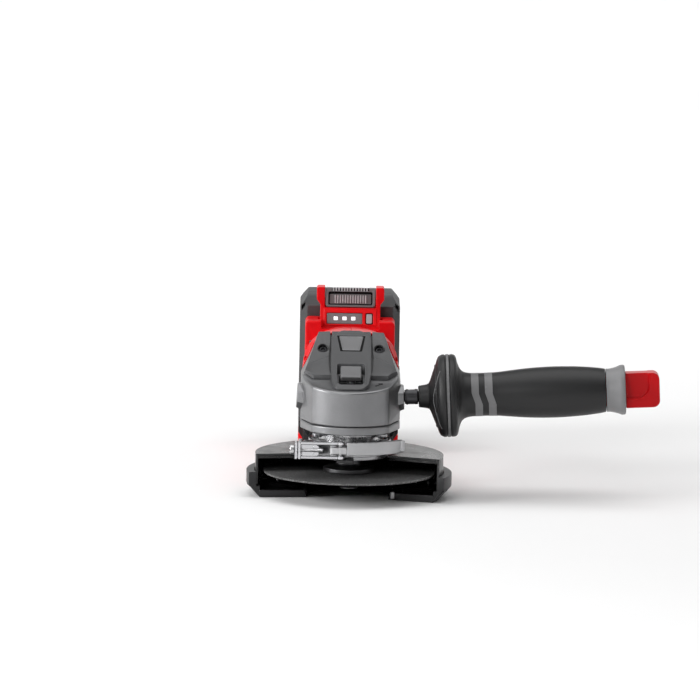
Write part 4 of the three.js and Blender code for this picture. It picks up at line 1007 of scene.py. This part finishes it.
def pack_cases():
    hollow = common(block(-35.8, 35.8, 225.4, 281.6, 4.3, 84),
            prism_z(both([(30, 225), (35.9, 232), (35.9, 276), (30, 282)]), 0, 90))
    corners = pair(prism_y, [(33.8, 93.0), (36.5, 90.4), (36.5, 86.4), (33.8, 90.6)], 222, 236)  # dark slots
    front = softened(pack_case(223, 253.85), 0.9, 4, 25)
    front = cut(front, hollow, *corners, *fluting(1, 231), *fluting(-1, 231))
    piece("battery_front_shell", front, "battery", "battery", ("battery_front_case",),
            "black_plastic", bevel=0.25)
    backs = [softened(block(-25, 25, 283.2, 286, 13 + i * 9, 17.4 + i * 9), 0.7, 3) for i in range(8)]
    screws = [(s * 31.2, z) for s in (1, -1) for z in (8, 84)]
    wells = [rod_y(3, 279, 290, x, z, 40) for x, z in screws]
    rear = cut(softened(pack_case(254.15, 284), 0.9, 4, 25), hollow, *fluting(1, 258),
            *fluting(-1, 258), *backs, *wells)
    piece("battery_rear_shell", rear, "battery", "battery", ("battery_rear_case",), "black_plastic", bevel=0.25)
    recess = star(1.6, -283.4, -281)
    heads = [cut(rod_y(2.6, 280, 282.4, x, z, 40), at(recess, x, 0, z, 90, "X")) for x, z in screws]
    piece("battery_screws", merged(*heads), "battery", "black_screw", bevel=0.1)
    smaller = Matrix.Translation((0, 0, 0.9)) @ Matrix.Diagonal((0.985, 1, 0.98, 1))
    seam = moved(pack_case(253.7, 254.3), smaller)
    piece("battery_seam_gasket", cut(seam, block(-35.9, 35.9, 250, 256, 0, 84)), "battery", "black", bevel=0)


def rail_shell():
    head = block(-24, 24, 206, 213.9, -2.7, 98)
    neck = block(-20.2, 20.2, 213, 222.7, -2.7, 98)
    posts = pair(prism_y, [(19.2, 89), (22.6, 89), (22.6, 94), (25.3, 97.6), (25.3, 106), (24.3, 107),
            (19.2, 107)], 209, 222.7)
    well = block(-19.2, 19.2, 204, 220.7, 91.4, 120)
    shoulder = prism_x([(200, 98.5), (200, 74.4), (204, 74.4), (206, 76.4), (210.5, 91.4),
            (209, 110), (200, 110)], -30, 30)
    steps = [beside(s, 22.6, 30, 204, 240, 80.6, 120) for s in (1, -1)]
    pockets = [prism_y(panel(-17.7, 9.3, 79.5, 87.7, 1, 4), 200, 212.7),
            prism_y(panel(11.5, 17.1, 79.5, 87.7, 1, 4), 200, 213.7)]
    me = cut(join(cut(join(head, neck), *steps), *posts), well, shoulder,
            block(-15.4, 15.4, 204, 213.3, -10, 20), *pockets)
    ledge = cut(common(block(-19.6, 19.6, 200, 214, 78.6, 90.6), display_face(0.5)), display_face(-1), *pockets)
    piece("battery_rail_moulding", join(me, ledge), "battery", "red", ("battery_rail_shell",), "red_plastic",
            bevel=0.45, segments=3)


def display_face(proud):
    """Everything behind the sloping face of the rail, moved forwards by a depth."""
    return prism_x([(204 - proud, 70), (206 - proud, 76.4), (210.5 - proud, 91.4), (212 - proud, 96),
            (240, 96), (240, 70)], -30, 30)


def display_and_latch():
    pane = common(prism_y(panel(-17.4, 9, 79.8, 87.4, 0.8, 4), 200, 212.4), display_face(0.1))
    piece("charge_display_window", pane, "battery", "window", ("charge_display",), "window", bevel=0.2)
    lights = [common(prism_y(panel(x + 0.2, x + 3.3, 82.4, 85.0, 0.3, 3), 200, 212), display_face(0.22))
            for x in (-12.6, -6, 0.6)]
    piece("charge_display_segments", cut(merged(*lights), display_face(-0.4)), "battery", "lamp", bevel=0)
    button = common(prism_y(panel(12.2, 16.4, 80.2, 87.0, 0.8, 4), 200, 212.6), display_face(0.6))
    # a near-black ring in the gap round the charge button, as painted shade
    button_shade_ring = cut(common(prism_y(panel(11.35, 17.25, 79.4, 87.8, 1, 4), 200, 213.6), display_face(0.05)),
            prism_y(panel(12.05, 16.55, 80.05, 87.15, 0.8, 4), 200, 214))
    piece("charge_button_gap_shade", button_shade_ring, "battery", "pitch", bevel=0)
    piece("charge_button_cap", softened(button, 0.35, 3), "charge_check", "latch", ("charge_button",),
            "light_grey_plastic", bevel=0)
    bezel = softened(prism_y(panel(-18.8, 18.8, 91.9, 106.4, [2.4, 2.4, 1, 1], 5), 210.6, 216), 0.6, 3)
    window = prism_y(panel(-16.6, 16.6, 93.4, 103.6, 1.3, 5), 209, 213.2)
    bezel = cut(bezel, window, block(-14, 14, 209, 216.5, 104, 107))
    piece("battery_latch_bezel", bezel, "latch", "bezel", ("battery_latch",), "light_grey_plastic", bevel=0.15)
    plate = softened(prism_y(panel(-15.6, 15.6, 94.2, 101.6, 0.8, 4), 211.6, 213.4), 0.3, 2)
    ribs = [softened(block(-11.9 + i * 1.9, -10.9 + i * 1.9, 210.9, 212.4, 94.8, 101.0), 0.3, 2)
            for i in range(13)]
    # the plate behind the ribs is coloured dark grey as painted shade under the top bar and between the ribs
    piece("battery_latch_shaded_plate", plate, "latch", "band_dark", slot="light_grey_plastic", bevel=0)
    piece("battery_latch_ribs", merged(*ribs), "latch", "latch", slot="light_grey_plastic", bevel=0)
    comb = [softened(block(-13.5 + i * 2.1, -12.3 + i * 2.1, 211.0, 215.6, 103.9, 106.4), 0.25, 2)
            for i in range(13)]
    piece("battery_latch_comb", merged(*comb), "latch", "latch", slot="light_grey_plastic", bevel=0)
    # near-black sheets behind the latch plate and the comb, as painted shadow
    shade_sheets = merged(block(-16.4, 16.4, 212.9, 213.15, 93.6, 103.4),
            block(-13.95, 13.95, 211.8, 216.2, 104.05, 105.7))
    piece("battery_latch_shade_sheets", shade_sheets, "latch", "pitch", slot="black_plastic", bevel=0)


housing()
switch_slider()
pack_cases()
rail_shell()
display_and_latch()


# ------------------------------------------------------------------ guard, clamp and cutting cover

GUARD_TURN = -5
GUARD_RADIUS = 68.75
GUARD_SPAN = (-13, 193, 110)  # from, to and steps of the guard's rim
COVER_SPAN = (-18, 198, 110)
LEVER_PIN = (-12, -36)  # the lever's pivot in the lugs of the clamp band
LINK_PIN = (-7, -36.5)  # the link's pivot in the lever
SCREW_LINE = (-36.5, 21.2)  # y and z of the adjusting screw


def guard_piece(name, me, mat, replaces=(), slot=None, body="guard", **edges):
    return piece(name, at(me, turn=GUARD_TURN), body, mat, replaces, slot, **edges)


def wheel_guard():
    x, y = polar(GUARD_RADIUS, GUARD_SPAN[0])
    plate = prism_z(arc(GUARD_RADIUS, *GUARD_SPAN) + [(-26, -3), (26, -3)], 12, 13.5)
    skirt = arc_band(67.25, GUARD_RADIUS, -9, 12.6, *GUARD_SPAN)
    shell = softened(join(plate, skirt), 1.2, 4, 50)
    length = math.hypot(26 - x, -3 - y) - 4
    lip = softened(block(0.8, 0.8 + length, -1.55, -0.05, 9.8, 13.1), 0.5, 3)
    lip = at(lip, x, y, 0, math.degrees(math.atan2(-3 - y, 26 - x)))
    tab = at(softened(block(-9.5, 3, -38, -26, 12, 14.5), 0.6, 3), turn=-GUARD_TURN)
    flush = common(arc_band(45, 47.2, 13.3, 13.5, 12, 168, 60), block(-70, 70, 0, 70, 10, 20))
    me = cut(join(shell, lip, mirrored(lip), tab, flush), rod(26.4, 0, 40, sides=128))
    me = cut(me, arc_band(35, 36.2, 13.1, 15, 15, 165, 60))  # a shallow ring groove
    guard_piece("wheel_guard_shell", me, "paint", ("wheel_guard",), "black_paint", bevel=0.3)
    collar = turned([(26.4, 12.2), (27.9, 12.2), (28.2, 13), (28.2, 24.6), (27.7, 25.4), (26.4, 25.4)], 144)
    guard_piece("wheel_guard_collar", collar, "zinc", slot="zinc_steel", bevel=0.15)
    notches = [at(softened(block(62, 68.6, -2.2, 2.2, -9, -7.9), 0.3, 2), turn=a) for a in (10, 90, 170)]
    guard_piece("wheel_guard_cover_stops", merged(*notches), "paint", slot="black_paint", bevel=0.1)


def clamp_band():
    gap = prism_z([(0, 0), (-40, -24), (-40, -60), (-22, -60)], 0, 40)
    band = turned([(28.5, 14.9), (29.7, 14.9), (30, 15.2), (30, 25.1), (29.7, 25.4), (28.5, 25.4)], 144)
    band = cut(band, gap)
    lugs = [join(rod(3.2, z, z + 1.2, *LEVER_PIN), block(-14.6, -8.8, -36, -27, z, z + 1.2))
            for z in (17.4, 23.9)]
    root = cut(block(-11.6, -8.8, -31, -26.4, 14.9, 25.1), rod(28.6, 0, 40, sides=128))
    anchor = softened(cut(block(-33.5, -24, -30, -13.5, 14.9, 25.2), rod(28.6, 0, 40, sides=128)), 0.7, 3, 60)
    me = join(band, *lugs, root, rod(1.5, 17.5, 25, *LEVER_PIN, 32), anchor)
    me = cut(me, prism_y(panel(-31.8, -26.6, 17.6, 22.6, 1, 4), -40, -24))
    piece("clamp_band_strap", me, "guard", "zinc", ("clamp_band",), "zinc_steel", bevel=0.25)


def clamp_lever():
    arm = arc_band(44, 46, 17.8, 27.4, -92.6, -33.2, 80)
    arm = at(softened(arm, 0.55, 3, 40), 0, 6, 0)
    lips = [at(softened(arc_band(43.2, 44.6, *z, -90, -36, 60), 0.3, 2), 0, 6, 0)
            for z in ((17.8, 18.9), (26.3, 27.4))]
    tip = softened(rod(2.1, 18.6, 26.8, 38, -19.4, 48), 0.6, 4, 50)
    root = join(rod(3.2, 18.9, 23.6, *LEVER_PIN, 48), block(-12, -7, -39.3, -33.2, 18.9, 23.6),
            rod(3, 18.9, 23.6, *LINK_PIN, 48), block(-7, -2.4, -39.9, -33.9, 18.9, 23.6))
    me = join(softened(root, 0.5, 3, 60), arm, *lips, tip, rod(1.5, 14.9, 27.5, *LINK_PIN, 40))
    me = cut(me, rod(1.8, 10, 30, *LEVER_PIN, 40))
    piece("clamp_lever_arm", me, "guard_lever", "lever", ("clamp_lever",), "zinc_steel", bevel=0.15)


def clamp_link():
    arms = []
    plan = rounded([(-36, -38.9), (-4.2, -38.9), (-4.2, -34.1), (-9, -33.9), (-36, -34.4)],
            [0.5, 2.2, 2.2, 1, 0.5], 6)
    for z in (15, 25.4):
        arm = softened(join(prism_z(plan, z, z + 2), rod(3, z, z + 2, *LINK_PIN, 40)), 0.35, 3, 60)
        arms.append(cut(arm, rod(1.8, z - 1, z + 3, *LINK_PIN, 40)))
    yoke = softened(block(-35, -26, -38.6, -34.8, 15.6, 26.6), 0.9, 4, 60)
    bow = softened(prism_y(rounded([(-27.5, 15.4), (-22.4, 17.6), (-22.4, 24.8), (-27.5, 27.0), (-35, 27.0),
            (-35, 15.4)], 1.5, 4), -38.5, -35), 0.5, 3, 60)
    plates = [softened(block(x, x + 1.9, -39.1, -32, 14.6, 27.2), 0.35, 3) for x in (-40, -37.6)]
    hook = join(*plates, block(-38.5, -33.9, -38.2, -33, 15.4, 26.6),
            softened(block(-37.4, -34.1, -33.2, -18, 15.2, 26.8), 0.6, 3))
    me = cut(join(*arms, yoke, bow, hook), rod_x(2.3, -45, -20, *SCREW_LINE, 40))
    piece("clamp_link_yoke", me, "guard_link", "chrome", ("clamp_link",), "chrome", bevel=0.2)
    head = turned([(0, 0), (3.1, 0), (3.6, 0.6), (3.6, 2.8), (3.2, 3.3), (0, 3.3)], 48)
    head = cut(head, block(-0.5, 0.5, -4, 4, -1, 1.2))
    shank = [(0, -41), (2, -41)] + thread(18, -39.6, 1.1, (1.6, 0), (2, 0.5)) + [(1.6, -19.7),
            (1.2, -19.5), (0, -19.5)]
    head, shank = at(head, -43.6, *SCREW_LINE, 90, "Y"), at(turned(shank, 32), 0, *SCREW_LINE, 90, "Y")
    piece("clamp_adjusting_screw", join(head, shank), "guard_link", "steel",
            ("adjusting_screw",), "steel", bevel=0.12)


def cutting_cover():
    ex, ey = polar(75, COVER_SPAN[0])
    wall = arc_band(66.4, 75, -17.6, 1, *COVER_SPAN)
    plate = prism_z(arc(75, *COVER_SPAN) + [(-ex + 8, ey + 2), (-33, -14), (33, -14), (ex - 8, ey + 2)], -17.6,
            -15.1)
    bars = pair(prism_z, [(31, -14), (ex - 8, ey + 2), (ex - 8, ey + 5), (31, -11)], -17.6, -12.4)
    arch = cut(rod(33, -17.6, -12.4, sides=128), block(-50, 50, -60, -13.9, -30, 0))
    notch = join(rod(30, -30, 0, sides=128), block(-30, 30, -60, 0, -30, 0))
    room = arc_band(60, 69.1, -9.4, 2, -19, 199, 110)
    inside = cut(rod(66.4, -15.1, 5, sides=160), merged(*bars), arch)
    chamfer = turned([(60, -30), (90, -30), (90, -8), (75.1, -8), (66.6, -17.62), (60, -17.62)], 160)
    slots = merged(*[at(softened(block(63, 77, -2, 2, -14.3, -10.9), 0.8, 3), turn=34 + i * 14)
            for i in range(9)])
    ends = merged(*[at(block(69.6, 74.8, *y, -8.8, 1.2), turn=a)
            for y, a in (((0.1, 6.1), -18), ((-6.1, -0.1), 198))])
    me = cut(join(wall, plate, *bars, arch), inside, room, notch, chamfer, slots)
    me = join(me, common(cut(ends, room), rod(74.9, -20, 0.98, sides=160)))
    guard_piece("cutting_cover_shell", me, "cover_black", ("cutting_cover",), "black_plastic", body="cover",
            bevel=0.4, segments=3)
    ribs = [at(block(40, 66.2, -0.6, 0.6, -15.3, -13.2), turn=a) for a in range(20, 161, 14)]
    guard_piece("cutting_cover_ribs", merged(*ribs), "cover_black", slot="black_plastic",
            body="cover", bevel=0.2)
    clip = softened(block(73.4, 74.75, -4.2, 4.2, -6.6, 0.6), 0.35, 3)
    lip = softened(block(73.2, 74.7, -5.4, 5.4, -7.8, -6.4), 0.3, 2)
    clips = [at(me, turn=a) for me in (clip, lip) for a in (-8, 52, 128, 188)]
    guard_piece("cutting_cover_clips", merged(*clips), "cover_black", slot="black_plastic",
            body="cover", bevel=0)
    peg = turned([(0, -16.4), (1.7, -16.4), (1.7, -11.8), (1.4, -11.4), (0, -11.3)], 32)
    guard_piece("cutting_cover_peg", at(peg, 33.3, -14.6), "steel", slot="steel", body="cover", bevel=0.1)


# ------------------------------------------------------------------ side handle


def handle_piece(name, me, body, mat, replaces=(), slot=None, **edges):
    return piece(name, moved(me, HANDLE), body, mat, replaces, slot, **edges)


def spline(points, steps=8):
    """A smooth curve through points, which never swings past them."""
    pts = np.array(points, float)
    out = []
    slope = np.zeros_like(pts)
    for k in range(pts.shape[1]):
        d = np.diff(pts[:, k])
        for i in range(1, len(pts) - 1):
            slope[i, k] = 0 if d[i - 1] * d[i] <= 0 else 2 * d[i - 1] * d[i] / (d[i - 1] + d[i])
        slope[0, k], slope[-1, k] = d[0], d[-1]
    for i in range(len(pts) - 1):
        for j in range(steps):
            out.append(tuple(hermite(j / steps, 1, pts[i], pts[i + 1], slope[i], slope[i + 1])))
    return out + [tuple(pts[-1])]


def grip_profile():
    cone = spline([(9.8, 18.4), (11.2, 19.2), (18, 21.6), (21.4, 22.85), (22, 22.7), (22.7, 23.0),
            (23.1, 23.55), (26.2, 24.6), (28.9, 26.1), (30.2, 28.6)], 5)
    rim = [(30.2, 30.3), (29.7, 30.5), (29.7, 30.9), (30.2, 31.1), (30.2, 33.4), (29.7, 33.6),
            (29.7, 34), (30.2, 34.2)]
    back = spline([(30.2, 35.6), (29.7, 37.3), (28.2, 38.5), (24, 39.6), (19.8, 41.2), (17.4, 43.4),
            (16.3, 46.5), (15.75, 52), (15.7, 60), (15.9, 67), (16.6, 75), (17.6, 85), (18.4, 97), (18.7, 110),
            (18.4, 122), (17.6, 134), (16.4, 144), (15.8, 147.2)], 6)
    return cone + rim + back


def surface_radius(z):
    """Radius of the grip at a distance along its axis."""
    points = grip_profile()
    return float(np.interp(z, [p[1] for p in points], [p[0] for p in points]))


def band_shell(z0, z1, jog, lift):
    """A band round the grip that steps along the axis halfway up."""
    zs = np.linspace(z0 - 1, z1 + abs(jog) + 1, 14)
    outer = [(surface_radius(z) + lift, z) for z in zs]
    inner = [(surface_radius(z) - 0.6, z) for z in reversed(zs)]
    sleeve = turned(outer + inner, 128)
    # local x points down, so the lower half is at positive x
    shape = rounded([(-40, z0), (-3.5, z0), (4.5, z0 + jog), (40, z0 + jog), (40, z1 + jog), (5.5, z1 + jog),
            (-2.5, z1), (-40, z1)], [0, 3, 3, 0, 0, 3, 3, 0], 5)
    return common(sleeve, prism_y(shape, -40, 40))


def side_handle():
    stud = [(0, -11.8), (3.2, -11.8)] + thread(9, -11.3, 1.25, (3.45, 0), (4, 0.5))
    stud += [(3.5, 0.1), (3.5, 0.3), (4.9, 0.3), (5.2, 0.6), (5.2, 1.4), (5.45, 1.4), (5.65, 1.7), (5.65, 9.6),
            (5.2, 10.3), (4, 10.3), (4, 45.7), (0, 45.7)]
    me = cut(turned(stud, 72), *[beside(s, 5.1, 7, -7, 7, 3, 8) for s in (1, -1)])
    handle_piece("handle_stud_bolt", me, "handle_bolt", "dark_steel", ("handle_stud",), "steel", bevel=0.12)
    studbore = turned([(0, 5), (4.3, 5), (4.3, 46), (0, 46)], 48)
    neck = [(7.4, 10.6), (7.9, 11.2), (8.7, 16.6), (9.1, 17.4), (9.1, 17.9), (9.5, 18.2)]
    body = turned([(0, 10.6)] + neck + grip_profile() + [(0, 147.2)], 144)
    plug = prism_z(panel(-11.4, 11.4, -6.4, 6.4, 1, 4), 138, 150)
    me = cut(body, studbore, rod(4.2, 86, 150), plug)
    handle_piece("handle_grip_body", me, "side_handle", "rubber", ("handle_grip",), "rubber", bevel=0.2)
    for k, (z0, z1) in enumerate(((49.2, 54.6), (59.0, 64.6))):
        handle_piece(f"handle_band_{k + 1}", band_shell(z0, z1, 2.6, 0.12), "side_handle", "band",
                slot="light_grey_plastic", bevel=0.06)
    # a raised ring at the rim and two raised arcs on the cone, coloured grey as painted highlights on the
    # ridges
    rim = turned([(29.4, 31.2), (30.3, 31.4), (30.3, 33.1), (29.4, 33.3)], 144)
    highlight_lines = []
    for s in (1, -1):
        path = []
        for k in range(19):
            u = -1 + k / 9
            z = 21.4 + 5.4 * u * u
            r, turn = surface_radius(z), rad(46) * u
            path.append((r * math.sin(turn), -s * r * math.cos(turn), z))
        highlight_lines.append(tube(path, 0.42))
    handle_piece("hand_guard_highlight_band", merged(rim, *highlight_lines), "side_handle", "band_dark",
            slot="grey_plastic", bevel=0)
    collar = [(0, 147.7)] + spline([(15.8, 147.7), (15.75, 149.5), (16.2, 152.5), (17.2, 156),
            (18.1, 158.2), (18.25, 159.2)], 5)
    collar += [(18.25, 160.6), (17.9, 161.3), (17.2, 161.6), (0, 161.6)]
    handle_piece("handle_end_ring", cut(turned(collar, 144), at(plug, 0, 0, 5), at(plug, 0, 0, 15)),
            "side_handle", "collar", ("handle_end_collar",), "light_grey_plastic", bevel=0.15)


def wheel_key():
    shape = panel(-12.7, 12.7, 161.9, 186.6, [0.5, 0.5, 5, 5], 10)
    head = softened(prism_y(shape, -7.5, 7.5), 1.4, 4, 40)
    for s in (1, -1):  # a scooped thumb rest on each side
        flat = panel(-13, 5.6, 160, 178.6, [0, 0.5, 9.5, 2], 12)
        head = cut(head, skin([[(x, -s * 5.9, z) for x, z in flat],
                [(x * 1.04, -s * 8.4, z + 1.0) for x, z in flat]]))
    me = cut(join(head, block(-11, 11, -6, 6, 138.6, 162.4)), rod(3.3, 100, 150, sides=48))
    handle_piece("key_grip_tab", me, "stowed_key", "key_red", ("key_grip",), "red_plastic",
            bevel=0.25, segments=3)
    bar = softened(prism_z([polar(3, 60 * i) for i in range(6)], 88, 149.6), 0.3, 2)
    handle_piece("hex_key_bar", bar, "stowed_key", "dark_steel", ("hex_key",), "dark_steel", bevel=0)


wheel_guard()
clamp_band()
clamp_lever()
clamp_link()
cutting_cover()
side_handle()
wheel_key()


# ------------------------------------------------------------------ CAD nodes that stay

KEPT = {name: mat for mat, names in (
    ("steel", "spindle_bearing spindle_needle_bearing bevel_gear bevel_pinion lock_pin motor_front_bearing "
              "motor_rear_bearing bearing_retainer rotor_shaft"),
    ("dark_steel", "rotor_magnet"),
    ("core", "stator_core"),
    ("copper", "stator_windings"),
    ("board", "controller_board"),
    ("black", "cooling_fan switch_module terminal_block"),
    ("cell", "battery_cell_1 battery_cell_2 battery_cell_3 battery_cell_4 battery_cell_5"),
) for name in names.split()}


def keep(name, mat):
    """Dresses a CAD node whose shape is right: its own mesh, welded and bevelled by modifiers."""
    o = nodes[name]
    o.data.materials.clear()
    o.data.materials.append(MAT[mat])
    if "custom_normal" in o.data.attributes:
        o.data.attributes.remove(o.data.attributes["custom_normal"])
    smooth(o.data)
    o.modifiers.new("weld", "WELD").merge_threshold = 0.00001
    flat = o.modifiers.new("flat", "DECIMATE")
    flat.decimate_type, flat.angle_limit = "DISSOLVE", FLAT_ANGLE
    bevel_edges(o, 0.00025, 2, 32)
    weight_normals(o)


for name in nodes:
    if name in KEPT or name not in REPLACED:
        keep(name, KEPT.get(name, "grey"))


# ------------------------------------------------------------------ camera, light and floor

TILT, YAW, ROLL, DISTANCE = 8.2, 0.37, 1.1, 6.9  # degrees, and metres
AIM = Vector((-0.001, 0, 0.1023))
MM_PER_PIXEL, PICTURE = 0.729, 700  # in the spindle's plane, and the picture's width in pixels
SENSOR = 36
LIGHT_HEIGHT = 1.6
DOWN_LIGHTS = (  # name, x, y, width, length, power, spread
    ("overhead", 0, 0.1, 2.4, 1.6, 22.5, 180),
    ("floor_front", 0, -1.5, 7.0, 1.0, 20, 80),
    ("floor_middle", 0, 1.4, 7.0, 1.0, 16, 80),
    ("floor_far", 0, 2.6, 7.0, 1.2, 26, 80),
    ("floor_end", 0, 3.8, 7.0, 1.4, 31, 80),
    ("floor_left", -2.5, 0, 2.2, 1.8, 16, 80),
    ("floor_right", 2.5, 0, 2.2, 1.8, 16, 80),
)
SIDE_LIGHTS = (  # name, place, target, size, power
    ("front_key", (-0.75, -2.0, 1.0), (0, 0, 0.08), (0.7, 0.5), 11),
    ("side_left", (-1.6, -0.5, 0.6), (0, 0, 0.05), (0.7, 0.9), 23),
    ("side_right", (1.6, -0.5, 0.7), (0.08, 0, 0.05), (0.4, 0.8), 1.5),
    ("back_panel", (0, 2.3, 0.66), (0, 0, 0.1), (2.8, 0.8), 8),
    ("rim_left", (-1.3, 0.9, 0.8), (0, 0.1, 0.06), (0.5, 0.7), 2),
    ("rim_right", (1.4, 1.0, 0.8), (0.05, 0.1, 0.06), (0.5, 0.7), 2),
)


def area_light(name, place, target, size, power, spread=180):
    light = bpy.data.objects.new(name, bpy.data.lights.new(name, "AREA"))
    bpy.context.scene.collection.objects.link(light)
    light.location = Vector(place)
    light.rotation_mode = "QUATERNION"
    light.rotation_quaternion = (Vector(target) - light.location).to_track_quat("-Z", "Y")
    light.data.shape = "RECTANGLE"
    light.data.size, light.data.size_y, light.data.energy = *size, power
    light.data.spread = rad(spread)


def studio():
    scene = bpy.context.scene
    scene.view_settings.view_transform = "Standard"
    cam = bpy.data.objects.new("camera", bpy.data.cameras.new("camera"))
    scene.collection.objects.link(cam)
    scene.camera = cam
    back = Matrix.Rotation(-rad(YAW), 3, "Z") @ Vector((0, -math.cos(rad(TILT)), math.sin(rad(TILT))))
    cam.location = AIM + back * DISTANCE
    cam.rotation_mode = "QUATERNION"
    cam.rotation_quaternion = (-back).to_track_quat("-Z", "Y") @ Matrix.Rotation(rad(ROLL),
            3, "Z").to_quaternion()
    cam.data.sensor_width = SENSOR
    cam.data.lens = SENSOR * DISTANCE * 1000 / (PICTURE * MM_PER_PIXEL)
    cam.data.clip_start, cam.data.clip_end = 0.1, 60

    floor_z = cad_box[0].z - 0.0002
    bpy.ops.mesh.primitive_plane_add(size=40, location=(0, 0, floor_z))
    floor = bpy.context.object
    floor.name = "studio_floor"
    n = Nodes("studio_floor")
    n.set(Base_Color=n.mix(n.noise(3), (0.9, 0.9, 0.9), (0.93, 0.93, 0.93)), Roughness=0.9)
    floor.data.materials.append(n.mat)

    world = bpy.data.worlds.new("studio")
    scene.world = world
    world.use_nodes = True
    sky = world.node_tree.nodes["Background"].inputs
    sky[0].default_value, sky[1].default_value = (1, 1, 1, 1), 0.08

    for name, x, y, width, length, power, spread in DOWN_LIGHTS:
        area_light(name, (x, y, LIGHT_HEIGHT), (x, y, 0), (width, length), power, spread)
    for light in SIDE_LIGHTS:
        area_light(*light)


studio()
